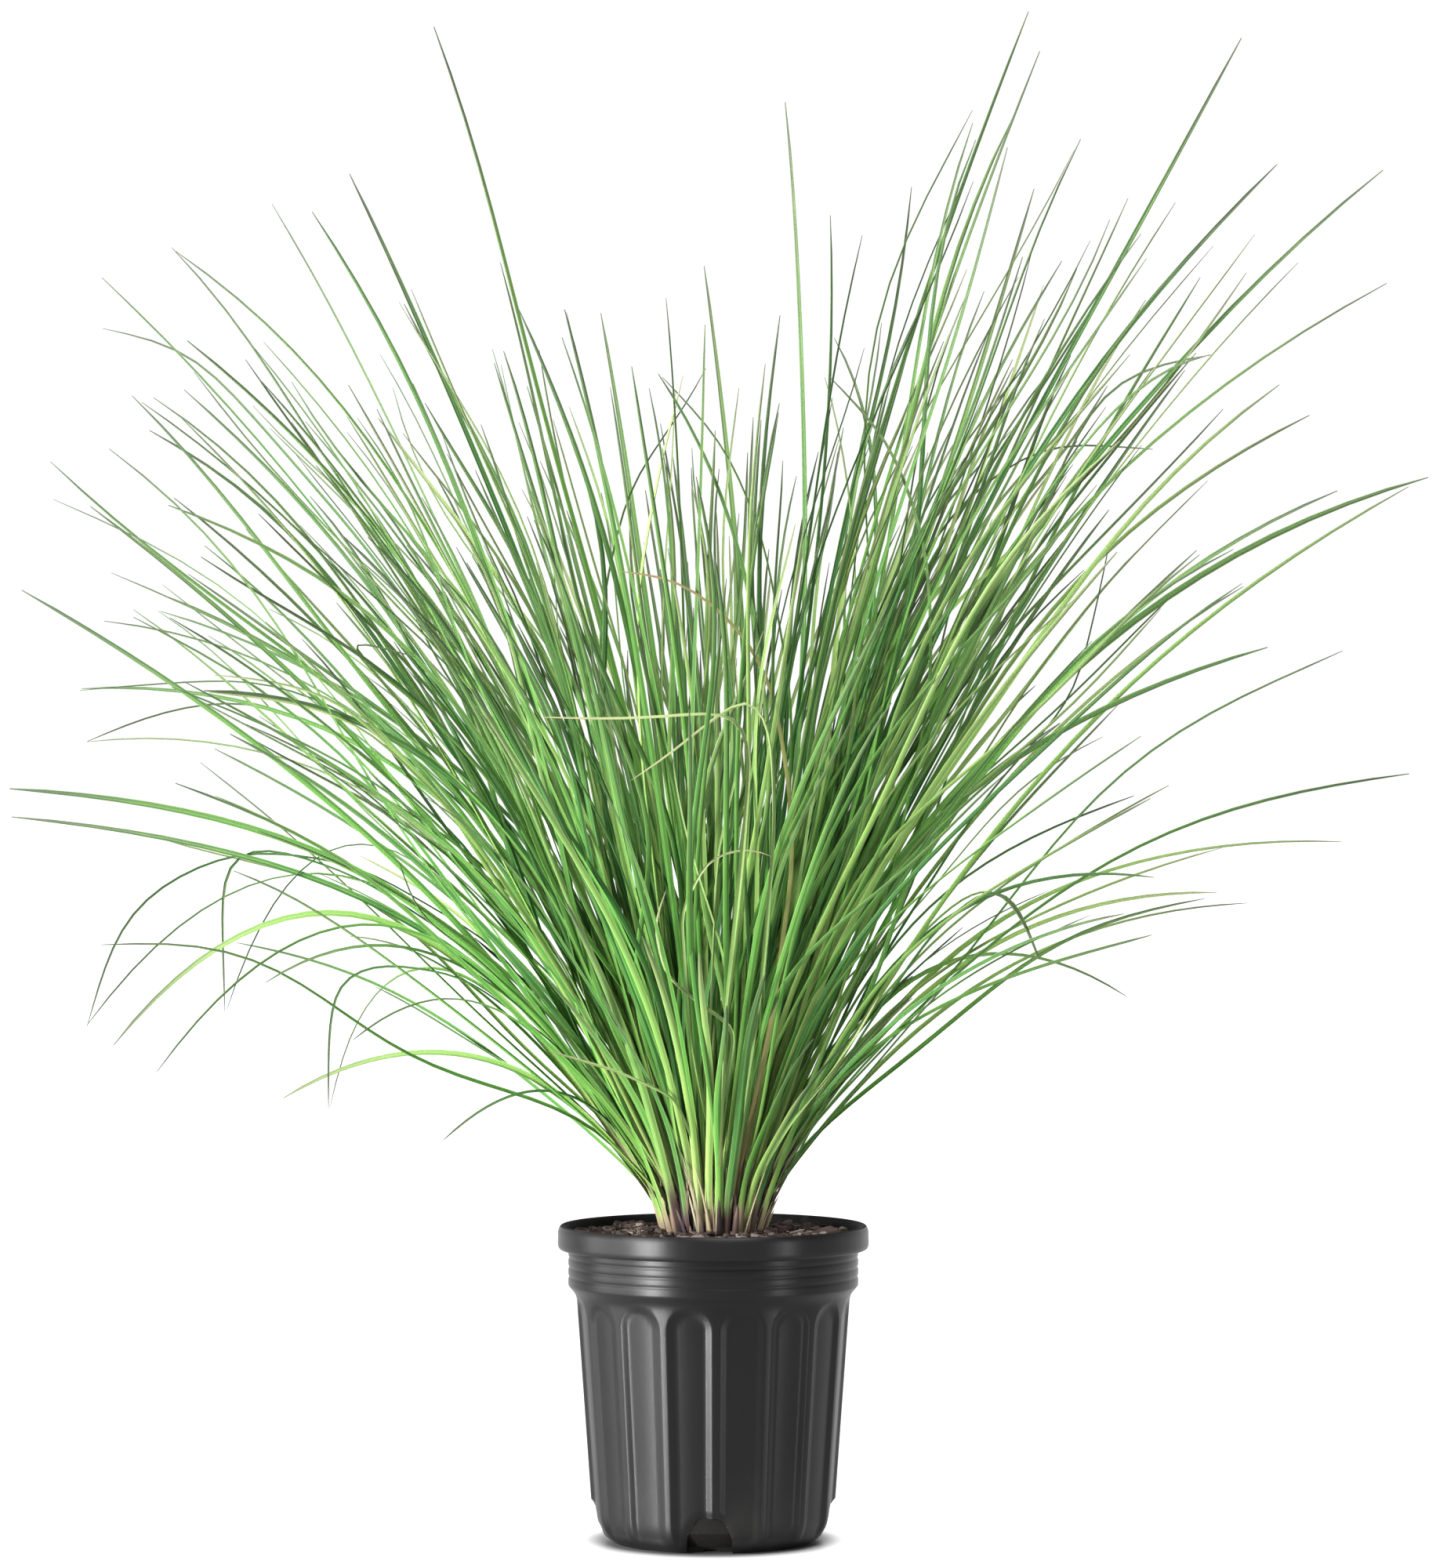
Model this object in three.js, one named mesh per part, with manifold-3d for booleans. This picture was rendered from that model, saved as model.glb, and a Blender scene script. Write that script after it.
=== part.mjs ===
// Potted dwarf mat rush: a fluted nursery pot, its bark potting mix, and the tussock that grows in it.
// Millimetres, +Z up. The origin is on the underside of the pot, at its axis. The front faces -Y.
import * as THREE from "three";
import { mergeVertices } from "three/addons/utils/BufferGeometryUtils.js";
import Module from "manifold-3d";

const wasm = await Module();
wasm.setup();

// Pot: black blow-moulded plastic, about a gallon.
const POT_HEIGHT = 167;
const RIM_RADIUS = 82.5;
const RIM_HEIGHT = 13;
const RIM_LIP = 4.5;
const COLLAR_RADIUS = 76.9;
const COLLAR_STEP = 5;
const GROOVE_DEPTH = 0.8;
const SHOULDER_RADIUS = 72.5;
const SHOULDER_HEIGHT = 130;
const FOOT_RADIUS = 64;
const FOOT_HEIGHT = 11;
const FOOT_ROUNDING = [[3.5, 2], [7.5, 5]];
const BASE_RADIUS = 52.5;
const WALL = 3.2;
const POT_FLOOR = 3;
const POT_SIDES = 48;

// Arched panels pressed into the side of the pot, and the drain holes in its bottom edge.
const PANEL_COUNT = 16;
const PANEL_ANGLE = THREE.MathUtils.degToRad(21.7);
const PANEL_TURN = THREE.MathUtils.degToRad(1.2);
const PANEL_DEPTH = 1.8;
const PANEL_RELEASE = 0.9;
const PANEL_FLANK = 5.25;
const ARCH_BASE = 116.8;
const PANEL_FOOT = 5;
const DRAIN_COUNT = 4;
const DRAIN_TURN = THREE.MathUtils.degToRad(-1.9);
const DRAIN_WIDTH = 23.5;
const DRAIN_TOP_WIDTH = 12.5;
const DRAIN_HEIGHT = 19.6;
const DRAIN_SHOULDER = 9;
const DRAIN_DEPTH = 7.5;
const CHANNEL_WIDTH = 7;
const CHANNEL_DEPTH = 1.2;
const HUB_RADIUS = 18;

// Potting mix: it fills the pot to just under the rim, with bark chips on its surface.
const CLEARANCE = 0.35;
const SOIL_HEIGHT = 161;
const SOIL_ROUGHNESS = 1.6;
const SOIL_RINGS = 4;
const SOIL_SIDES = 32;
const CHIP_COUNT = 22;
const CHIP_TILT = 0.25;
const CHIP_NEAREST = 41;
const CHIP_FURTHEST = 64;
const CLUMP_HOLE_RADIUS = 30;
const CLUMP_HOLE_MOUTH = 35;
const CLUMP_HOLE_LIP = 6;
const CLUMP_HOLE_FLOOR = 141;

// Foot of the tussock: a tight core of leaf bases, with a collar of dry brown sheaths round it.
const CORE_RADIUS = 27;
const CORE_TOP_RADIUS = 35;
const CORE_TOP_HEIGHT = 198;
const CORE_HEIGHT = 224;
const CORE_RIDGE = 2.4;
const CORE_SIDES = 16;
const SHEATH_COUNT = 20;
const SHEATH_RING_WALL = 1.9;
const SHEATH_RING_RISE = 3;
const SHEATH_THICKNESS = 1;
const SHEATH_SLOPE = 0.55;
const SHEATH_REACH = 28;

// Leaves: strap blades with a keel, in eight bunches side by side round the axis.
const BUNCH_COUNT = 8;
const BUNCH_ANGLE = (2 * Math.PI) / BUNCH_COUNT;
const BUNCH_GAP = 0.4;
const BUNCH_LIMIT = BUNCH_ANGLE / 2 - THREE.MathUtils.degToRad(3);
const FILL_LEAF_COUNT = 148;
const FILL_CROWDING = 0.2;
const YOUNG_LEAF_COUNT = 32;
const LEAF_THICKNESS = 0.9;
const LEAF_TWIST = 1.2;
const LEAF_TURN = 0.7;
const LEAST_LEAN = 10;
const LEAN_RANGE = 36;
const LONGEST_LEAF_LEAN = 30;
const LONGEST_LEAF = 590;
const LEAF_SHORTENING = 5.5;
const LOW_SIDE_RISE = 430;
const HIGH_SIDE_RISE = 150;
const ROOT_HEIGHT = 164;
const LEAST_ROOT_REACH = 4;
const ROOT_REACH_RANGE = 15;
const PLANT_REACH = 600;
const PLANT_HEIGHT = 1000;
const VIEW_DISTANCE = 2830;
const VIEW_HEIGHT = 400;
const GOLDEN_ANGLE = THREE.MathUtils.degToRad(137.508);
const WELD = 1e-4;
const LEAF_SEED = 20;
const GROUND_SEED = 5;

// The leaves that stand out of the tussock's outline, as they are seen from the front at the view
// distance: tip x and z, x and z halfway along, how far the tip stands behind the axis, and width.
const OUTLINE_LEAVES = [
  // Upper right.
  [167, 810, 66, 490, 45, 4.4],
  [173, 789, 70, 480, -40, 4.6],
  [156, 738, 78, 460, -110, 3.4],
  [170, 716, 85, 455, 120, 3.4],
  [105, 717, 60, 450, 160, 3.2],
  [80, 695, 31, 430, -190, 3.4],
  [89, 645, 52, 410, 180, 3.2],
  [164, 680, 85, 440, -140, 4.6],
  [169, 684, 92, 430, 60, 3.4],
  [175, 665, 95, 430, 170, 3.2],
  [219, 710, 97, 445, 90, 3.2],
  [246, 710, 115, 460, -95, 3],
  [280, 796, 118, 480, 30, 4.4],
  [299, 729, 125, 490, -80, 3.8],
  [355, 726, 132, 480, 20, 4.8],
  [258, 669, 130, 430, 150, 3.4],
  [263, 628, 138, 495, -150, 3.2],
  [357, 666, 130, 465, -50, 4],
  [250, 620, 115, 410, 190, 3],
  [316, 596, 135, 435, 70, 3.8],
  [379, 563, 150, 425, 10, 4.4],
  [331, 556, 145, 410, -100, 4],
  [310, 677, 140, 460, 110, 2.8],
  [294, 473, 105, 365, -70, 4.6],
  [283, 506, 120, 370, 120, 3.2],
  [276, 525, 115, 380, -140, 3.2],
  // Lower right.
  [369, 406, 160, 328, -25, 4.4],
  [333, 370, 150, 325, 60, 3.8],
  [232, 393, 100, 300, -130, 3.4],
  [234, 351, 110, 315, -60, 3.2],
  [267, 343, 125, 300, 40, 3.2],
  [285, 337, 135, 290, 120, 3],
  [217, 332, 100, 280, -90, 3.2],
  [219, 288, 110, 298, 30, 3],
  [172, 309, 115, 330, -50, 2.8],
  [214, 442, 95, 300, 150, 3.2],
  [126, 297, 70, 235, -40, 3.2],
  // Middle.
  [38, 762, 50, 462, 38, 4.2],
  [62, 702, 45, 440, -60, 3.2],
  [-25, 658, -10, 410, -160, 3.2],
  [-5, 675, 17, 420, 190, 3.6],
  [-60, 651, -22, 410, 170, 3.8],
  [-4, 644, -10, 405, -220, 4],
  [-29, 618, 28, 430, -150, 3.8],
  [21, 595, 18, 390, 230, 3.2],
  [37, 572, 28, 380, -250, 3.2],
  [59, 616, 70, 420, 60, 3],
  [64, 637, 85, 450, 85, 3],
  [94, 614, 45, 400, -80, 3.6],
  [69, 590, 40, 385, 200, 3.6],
  // Upper left.
  [-148, 802, -60, 490, -35, 4.6],
  [-193, 724, -85, 465, 70, 4],
  [-212, 703, -92, 450, -90, 3.4],
  [-234, 708, -110, 460, 120, 2.8],
  [-287, 685, -125, 455, -40, 4],
  [-285, 683, -115, 480, 80, 3.6],
  [-324, 669, -135, 440, 30, 4],
  [-278, 635, -115, 440, -120, 4.6],
  [-280, 609, -125, 420, 110, 3.2],
  [-303, 603, -130, 430, -70, 2.8],
  [-299, 588, -135, 425, 60, 3.6],
  [-290, 549, -120, 415, -110, 4.2],
  [-235, 589, -100, 410, 160, 3.2],
  [-160, 663, -75, 430, -130, 3],
  [-164, 655, -70, 420, 110, 3.4],
  [-159, 613, -80, 400, -190, 3.8],
  [-113, 677, -52, 425, 150, 3.4],
  [-111, 630, -48, 400, -170, 3.4],
  [-103, 652, -35, 430, -60, 3.6],
  // Lower left.
  [-290, 500, -125, 380, 100, 3.6],
  [-323, 487, -130, 395, -50, 3.6],
  [-293, 492, -110, 380, 150, 3.2],
  [-335, 451, -145, 390, 70, 3],
  [-332, 423, -150, 375, 120, 2.8],
  [-287, 452, -120, 345, -130, 4],
  [-270, 450, -115, 375, -90, 4.6],
  [-256, 427, -115, 320, -40, 4.6],
  [-272, 412, -115, 275, 90, 3.2],
  [-285, 401, -120, 300, -150, 3.6],
  [-373, 398, -165, 333, -10, 4.6],
  [-372, 383, -150, 318, 40, 4],
  [-332, 273, -180, 345, 60, 3],
  [-258, 281, -165, 360, 30, 2.6],
  [-318, 262, -175, 325, -20, 4],
  [-295, 248, -160, 320, -60, 3],
  [-238, 295, -125, 300, -90, 3],
  [-228, 234, -115, 254, 20, 3.6],
  [-191, 265, -105, 275, -70, 3.8],
  [-179, 293, -90, 240, 50, 3.2],
  [-204, 229, -140, 300, 90, 2.4],
  [-143, 212, -75, 235, -45, 3.6],
  [-193, 320, -110, 280, 110, 3],
];

// Places along a leaf, from root to tip, and the share of its full width there.
const LEAF_STATIONS = [
  [0, 0.3],
  [0.26, 0.8],
  [0.6, 1],
  [0.86, 0.55],
];

const BUNCH_NAMES = [
  "leaf_bunch_right",
  "leaf_bunch_back_right",
  "leaf_bunch_back",
  "leaf_bunch_back_left",
  "leaf_bunch_left",
  "leaf_bunch_front_left",
  "leaf_bunch_front",
  "leaf_bunch_front_right",
];

const FINISHES = {
  pot: { color: 0x2c2d2f, roughness: 0.45, metalness: 0 },
  pottingMix: { color: 0x6a5548, roughness: 0.95, metalness: 0 },
  drySheath: { color: 0x6b4636, roughness: 0.85, metalness: 0 },
  leaf: { color: 0x4f9a3a, roughness: 0.55, metalness: 0 },
};

// A repeatable row of draws between two values.
function drawsFrom(seed) {
  let state = seed;
  return (low, high) => {
    state = (state * 1664525 + 1013904223) % 4294967296;
    return low + ((high - low) * state) / 4294967296;
  };
}

// A mesh with positions alone, whose faces share their vertices.
function welded(geometry) {
  const bare = geometry.index ? geometry.toNonIndexed() : geometry.clone();
  bare.deleteAttribute("normal");
  bare.deleteAttribute("uv");
  return mergeVertices(bare, WELD);
}

function solidOf(geometry) {
  const merged = welded(geometry);
  return new wasm.Manifold(
    new wasm.Mesh({
      numProp: 3,
      vertProperties: new Float32Array(merged.attributes.position.array),
      triVerts: new Uint32Array(merged.index.array),
    }),
  );
}

function meshOf(name, solid, finish) {
  const { vertProperties, triVerts } = solid.getMesh();
  const geometry = new THREE.BufferGeometry();
  geometry.setAttribute("position", new THREE.BufferAttribute(vertProperties, 3));
  geometry.setIndex(new THREE.BufferAttribute(triVerts, 1));
  geometry.computeVertexNormals();
  const mesh = new THREE.Mesh(geometry, new THREE.MeshStandardMaterial(finish));
  mesh.name = name;
  return mesh;
}

// A turned solid: the profile is a list of radius and height, and the axis is Z.
function turned(profile, sides) {
  const points = profile.map(([radius, height]) => new THREE.Vector2(radius, height));
  return new THREE.LatheGeometry(points, sides).rotateX(Math.PI / 2);
}

// The largest body of a solid: scraps that a cut leaves loose are dropped, and sealed hollows filled.
function mainBody(solid) {
  return solid.decompose().reduce((best, body) => (body.volume() > best.volume() ? body : best));
}

function bodyRadius(height) {
  const share = (height - FOOT_HEIGHT) / (SHOULDER_HEIGHT - FOOT_HEIGHT);
  return FOOT_RADIUS + (SHOULDER_RADIUS - FOOT_RADIUS) * share;
}

// Inside wall of the pot from the floor's corner to the rim, moved in by a clearance.
function innerWall(gap) {
  return [
    [BASE_RADIUS - 1 - gap, POT_FLOOR + gap],
    [FOOT_RADIUS - WALL - gap, FOOT_HEIGHT + gap / 2],
    [SHOULDER_RADIUS - WALL - gap, SHOULDER_HEIGHT + gap / 2],
    [COLLAR_RADIUS - WALL - gap, SHOULDER_HEIGHT + COLLAR_STEP + gap / 2],
    [COLLAR_RADIUS - 2 - gap, POT_HEIGHT - RIM_HEIGHT + gap / 2],
  ];
}

function makePot() {
  const rimFoot = POT_HEIGHT - RIM_HEIGHT;
  const collar = [];
  for (let top = SHOULDER_HEIGHT + 2 * COLLAR_STEP; top < rimFoot - 1; top += COLLAR_STEP) {
    collar.push([COLLAR_RADIUS, top - GROOVE_DEPTH]);
    collar.push([COLLAR_RADIUS - GROOVE_DEPTH, top]);
    collar.push([COLLAR_RADIUS, top + GROOVE_DEPTH]);
  }
  const profile = [
    [0, 0],
    [BASE_RADIUS, 0],
    ...FOOT_ROUNDING.map(([out, up]) => [BASE_RADIUS + out, up]),
    [FOOT_RADIUS, FOOT_HEIGHT],
    [SHOULDER_RADIUS, SHOULDER_HEIGHT],
    [COLLAR_RADIUS - 1, SHOULDER_HEIGHT + COLLAR_STEP - 1],
    ...collar,
    [COLLAR_RADIUS, rimFoot],
    [RIM_RADIUS, rimFoot + 1.5],
    [RIM_RADIUS, POT_HEIGHT - 1.8],
    [RIM_RADIUS - 2, POT_HEIGHT],
    [RIM_RADIUS - RIM_LIP, POT_HEIGHT - 1],
    ...innerWall(0).reverse(),
    [0, POT_FLOOR],
  ];
  let pot = solidOf(turned(profile, POT_SIDES).rotateZ(PANEL_TURN + Math.PI / POT_SIDES));
  for (let i = 0; i < PANEL_COUNT; i += 1) {
    const angle = PANEL_TURN + ((i + 0.5) * 2 * Math.PI) / PANEL_COUNT - Math.PI / 2;
    pot = pot.subtract(panelCutter(angle));
  }
  for (let i = 0; i < DRAIN_COUNT; i += 1) {
    const angle = DRAIN_TURN + (i * 2 * Math.PI) / DRAIN_COUNT - Math.PI / 2;
    pot = pot.subtract(drainCutter(angle)).subtract(channelCutter(angle));
  }
  return meshOf("pot", mainBody(pot), FINISHES.pot);
}

// An arched plate, bent round the pot, whose inner face is smaller so that the flanks slope. Its outer
// face stands clear of the wall.
function panelCutter(angle) {
  const halfWidth = (PANEL_ANGLE * SHOULDER_RADIUS) / 2;
  const outline = new THREE.Shape();
  outline.moveTo(-halfWidth, PANEL_FOOT);
  outline.lineTo(halfWidth, PANEL_FOOT);
  outline.lineTo(halfWidth, ARCH_BASE);
  outline.absarc(0, ARCH_BASE, halfWidth, 0, Math.PI, false);
  const options = { depth: 1, steps: 1, bevelEnabled: false, curveSegments: 4 };
  const plate = new THREE.ExtrudeGeometry(outline, options);
  const position = plate.attributes.position;
  for (let i = 0; i < position.count; i += 1) {
    const inner = position.getZ(i) < 0.5;
    const shrink = inner ? 1 - PANEL_FLANK / halfWidth : 1;
    const across = position.getX(i) * shrink;
    const rise = position.getY(i) - ARCH_BASE;
    const height = rise > 0 ? ARCH_BASE + rise * shrink : position.getY(i);
    const radius = bodyRadius(height) + (inner ? -PANEL_DEPTH : PANEL_RELEASE);
    const turn = angle + across / SHOULDER_RADIUS;
    position.setXYZ(i, radius * Math.cos(turn), radius * Math.sin(turn), height);
  }
  return solidOf(plate);
}

// A notch through the wall and the edge of the floor, wide below and narrow at the top.
function drainCutter(angle) {
  const outline = new THREE.Shape();
  outline.moveTo(-DRAIN_WIDTH / 2, -1);
  outline.lineTo(DRAIN_WIDTH / 2, -1);
  outline.lineTo(DRAIN_WIDTH / 2, DRAIN_SHOULDER);
  outline.lineTo(DRAIN_TOP_WIDTH / 2, DRAIN_HEIGHT);
  outline.lineTo(-DRAIN_TOP_WIDTH / 2, DRAIN_HEIGHT);
  outline.lineTo(-DRAIN_WIDTH / 2, DRAIN_SHOULDER);
  const block = new THREE.ExtrudeGeometry(outline, { depth: RIM_RADIUS, bevelEnabled: false });
  block.translate(0, 0, BASE_RADIUS - DRAIN_DEPTH);
  block.rotateX(Math.PI / 2).rotateZ(angle + Math.PI / 2);
  return solidOf(block);
}

// A shallow channel under the floor, which leads water to a drain hole.
function channelCutter(angle) {
  const length = BASE_RADIUS - DRAIN_DEPTH + 1 - HUB_RADIUS;
  const bar = new THREE.BoxGeometry(length, CHANNEL_WIDTH, 2 * CHANNEL_DEPTH);
  bar.translate(HUB_RADIUS + length / 2, 0, 0).rotateZ(angle);
  return solidOf(bar);
}

function makePottingMix() {
  const draw = drawsFrom(GROUND_SEED);
  const edge = innerWall(CLEARANCE);
  const brim = edge[edge.length - 1][0];
  const surface = [];
  for (let i = 0; i < SOIL_RINGS; i += 1) {
    surface.push([brim + ((CLUMP_HOLE_MOUTH - brim) * i) / (SOIL_RINGS - 1), SOIL_HEIGHT]);
  }
  const hole = [
    [CLUMP_HOLE_RADIUS, SOIL_HEIGHT - CLUMP_HOLE_LIP],
    [CLUMP_HOLE_RADIUS, CLUMP_HOLE_FLOOR],
    [0, CLUMP_HOLE_FLOOR],
  ];
  const profile = [[0, POT_FLOOR + CLEARANCE], ...edge, ...surface, ...hole];
  const bed = welded(turned(profile, SOIL_SIDES));
  const position = bed.attributes.position;
  for (let i = 0; i < position.count; i += 1) {
    if (Math.abs(position.getZ(i) - SOIL_HEIGHT) < 0.01) {
      position.setZ(i, SOIL_HEIGHT + draw(-SOIL_ROUGHNESS, SOIL_ROUGHNESS));
    }
  }
  let mix = solidOf(bed);
  for (let i = 0; i < CHIP_COUNT; i += 1) {
    const chip = new THREE.BoxGeometry(draw(7, 14), draw(4, 8), draw(2.6, 4.2));
    chip.rotateX(draw(-CHIP_TILT, CHIP_TILT)).rotateY(draw(-CHIP_TILT, CHIP_TILT));
    chip.rotateZ(draw(0, Math.PI));
    const turn = ((i + draw(-0.3, 0.3)) * 2 * Math.PI) / CHIP_COUNT;
    const radius = draw(CHIP_NEAREST, CHIP_FURTHEST);
    chip.translate(radius * Math.cos(turn), radius * Math.sin(turn), SOIL_HEIGHT + draw(0, 1.6));
    mix = mix.add(solidOf(chip));
  }
  return meshOf("potting_mix", mainBody(mix), FINISHES.pottingMix);
}

// Dry brown sheaths: a thin ring in the mix, with pointed scales that lean out along the clump.
function makeDrySheaths() {
  const draw = drawsFrom(GROUND_SEED + 1);
  const inner = CORE_RADIUS + CLEARANCE;
  const foot = CLUMP_HOLE_FLOOR + CLEARANCE;
  const outer = inner + SHEATH_RING_WALL;
  const brim = SOIL_HEIGHT + SHEATH_RING_RISE;
  const flare = SHEATH_RING_RISE * SHEATH_SLOPE;
  let collar = solidOf(
    turned(
      [
        [inner, foot],
        [outer, foot],
        [outer, SOIL_HEIGHT],
        [outer + flare, brim],
        [inner + flare, brim],
        [inner, SOIL_HEIGHT],
        [inner, foot],
      ],
      CORE_SIDES,
    ),
  );
  for (let i = 0; i < SHEATH_COUNT; i += 1) {
    const turn = ((i + draw(-0.3, 0.3)) * 2 * Math.PI) / SHEATH_COUNT;
    const lean = Math.atan(SHEATH_SLOPE) + draw(0.02, 0.2);
    const length = draw(15, 29);
    const out = new THREE.Vector3(Math.cos(turn), Math.sin(turn), 0);
    const root = out.clone().multiplyScalar((inner + outer) / 2).setZ(SOIL_HEIGHT - 2);
    const tip = root.clone().addScaledVector(out, length * Math.sin(lean));
    tip.z += length * Math.cos(lean);
    const middle = root.clone().lerp(tip, 0.5);
    const scale = { root, middle, tip, width: draw(7, 10), twist: draw(-0.15, 0.15), turn: 0 };
    collar = collar.add(bladeSolid(scale, SHEATH_THICKNESS));
  }
  return meshOf("basal_sheaths", mainBody(collar), FINISHES.drySheath);
}

// A three-sided blade along a bow through its root, middle and tip: two edges and a keel below.
function bladeSolid(leaf, thickness) {
  const ends = leaf.root.clone().add(leaf.tip).multiplyScalar(0.5);
  const control = leaf.middle.clone().multiplyScalar(2).sub(ends);
  const bow = new THREE.QuadraticBezierCurve3(leaf.root, control, leaf.tip);
  const across = new THREE.Vector3(-leaf.tip.y, leaf.tip.x, 0).normalize();
  const vertices = [];
  for (const [place, share] of LEAF_STATIONS) {
    const centre = bow.getPoint(place);
    const along = bow.getTangent(place);
    const side = across.clone().addScaledVector(along, -across.dot(along)).normalize();
    side.applyAxisAngle(along, leaf.twist + leaf.turn * place);
    const back = new THREE.Vector3().crossVectors(along, side);
    const half = (leaf.width * share) / 2;
    vertices.push(centre.clone().addScaledVector(side, half));
    vertices.push(centre.clone().addScaledVector(side, -half));
    vertices.push(centre.clone().addScaledVector(back, -thickness * Math.sqrt(share)));
  }
  const apex = vertices.length;
  vertices.push(leaf.tip.clone());
  const faces = [0, 2, 1];
  for (let ring = 0; ring + 3 < apex; ring += 3) {
    for (let i = 0; i < 3; i += 1) {
      const next = (i + 1) % 3;
      faces.push(ring + i, ring + next, ring + 3 + next, ring + i, ring + 3 + next, ring + 3 + i);
    }
  }
  for (let i = 0; i < 3; i += 1) {
    faces.push(apex - 3 + i, apex - 3 + ((i + 1) % 3), apex);
  }
  const geometry = new THREE.BufferGeometry().setFromPoints(vertices);
  geometry.setIndex(faces);
  return solidOf(geometry);
}

// The bunch in whose slice of the ground plan a direction lies.
function bunchAt(angle) {
  return (Math.round(angle / BUNCH_ANGLE) + BUNCH_COUNT) % BUNCH_COUNT;
}

function angleFrom(centre, angle) {
  return Math.atan2(Math.sin(angle - centre), Math.cos(angle - centre));
}

// A depth behind the axis, moved where needed so that the point x, depth stays in the bunch's slice.
function depthInBunch(x, depth, bunch) {
  const centre = bunch * BUNCH_ANGLE;
  const offset = angleFrom(centre, Math.atan2(depth, x));
  const inside = Math.abs(offset) <= BUNCH_LIMIT;
  return inside ? depth : x * Math.tan(centre + Math.sign(offset) * BUNCH_LIMIT);
}

// A point given by its turn round the axis, its distance from it and its height.
function pointAt(turn, radius, height) {
  return new THREE.Vector3(radius * Math.cos(turn), radius * Math.sin(turn), height);
}

// How far from the axis a leaf is rooted: the more it leans, in degrees, the further out.
function rootReach(lean, draw) {
  return LEAST_ROOT_REACH + ROOT_REACH_RANGE * Math.min(lean / 60, 1) + draw(0, 4);
}

function leafTwist(draw) {
  return { twist: draw(-LEAF_TWIST, LEAF_TWIST), turn: draw(-LEAF_TURN, LEAF_TURN) };
}

function outlineLeaf(values, draw) {
  const [tipX, tipZ, middleX, middleZ, depth, width] = values;
  const spread = 1 + depth / VIEW_DISTANCE;
  const bunch = bunchAt(Math.atan2(depth, tipX));
  const tipY = depthInBunch(tipX * spread, depth, bunch);
  const tip = new THREE.Vector3(tipX * spread, tipY, VIEW_HEIGHT + (tipZ - VIEW_HEIGHT) * spread);
  const half = 1 + depth / 2 / VIEW_DISTANCE;
  const middleY = depthInBunch(middleX * half, depth * 0.42, bunch);
  const height = VIEW_HEIGHT + (middleZ - VIEW_HEIGHT) * half;
  const middle = new THREE.Vector3(middleX * half, middleY, height);
  const angle = Math.atan2(middleY, middleX);
  const lean = THREE.MathUtils.radToDeg(Math.atan2(Math.hypot(tip.x, tip.y), tip.z - ROOT_HEIGHT));
  const root = pointAt(angle, rootReach(lean, draw), ROOT_HEIGHT);
  return { bunch, root, middle, tip, width, ...leafTwist(draw) };
}

// The longest that a leaf grows in its direction: the front and back of the tussock are lower.
function longestLeaf(angle, lean) {
  const longest = LONGEST_LEAF - LEAF_SHORTENING * Math.abs(lean - LONGEST_LEAF_LEAN);
  const highest = LOW_SIDE_RISE + HIGH_SIDE_RISE * Math.abs(Math.cos(angle));
  return Math.min(longest, highest / Math.cos(THREE.MathUtils.degToRad(lean)));
}

// The leaves between those: spread round the axis, more of them at the front and back, where few
// outline leaves stand. Each leaves its root steeply and bows over.
function fillLeaf(index, draw) {
  const step = index * GOLDEN_ANGLE;
  const angle = step + FILL_CROWDING * Math.sin(2 * step);
  const bunch = bunchAt(Math.atan2(Math.sin(angle), Math.cos(angle)));
  const centre = bunch * BUNCH_ANGLE;
  const offset = THREE.MathUtils.clamp(angleFrom(centre, angle), -BUNCH_LIMIT, BUNCH_LIMIT);
  const lean = LEAST_LEAN + LEAN_RANGE * draw(0, 1);
  const length = longestLeaf(angle, lean) * draw(0.66, 1);
  const drift = THREE.MathUtils.clamp(offset + draw(-0.14, 0.14), -BUNCH_LIMIT, BUNCH_LIMIT);
  const slope = THREE.MathUtils.degToRad(lean);
  const startSlope = slope * draw(0.32, 0.66);
  const reach = rootReach(lean, draw);
  const base = ROOT_HEIGHT + draw(-4, 8);
  const along = (turn, run, angleUp) =>
    pointAt(centre + turn, reach + run * Math.sin(angleUp), base + run * Math.cos(angleUp));
  const root = along(offset, 0, 0);
  const tip = along(drift, length, slope);
  const bend = along(offset, length / 2, startSlope);
  const middle = root.clone().add(tip).multiplyScalar(0.25).addScaledVector(bend, 0.5);
  const width = draw(3, 4.4);
  return { bunch, root, middle, tip, width, ...leafTwist(draw) };
}

// Short young leaves that stand close round the core and hide its side.
function youngLeaf(index, draw) {
  const perBunch = YOUNG_LEAF_COUNT / BUNCH_COUNT;
  const bunch = Math.floor(index / perBunch);
  const offset = BUNCH_LIMIT * (((index % perBunch) + 0.5) * (2 / perBunch) - 1);
  const angle = bunch * BUNCH_ANGLE + offset + draw(-0.03, 0.03);
  const length = draw(90, 210);
  const along = (out, up) => pointAt(angle, CORE_RADIUS + length * out, SOIL_HEIGHT + length * up);
  const root = pointAt(angle, CORE_RADIUS - 1, SOIL_HEIGHT + 2);
  const middle = along(0.17, 0.45);
  const tip = along(draw(0.42, 0.6), draw(0.8, 0.9));
  const width = draw(4, 5);
  return { bunch, root, middle, tip, width, twist: draw(-0.3, 0.3), turn: draw(-0.4, 0.4) };
}

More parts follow.
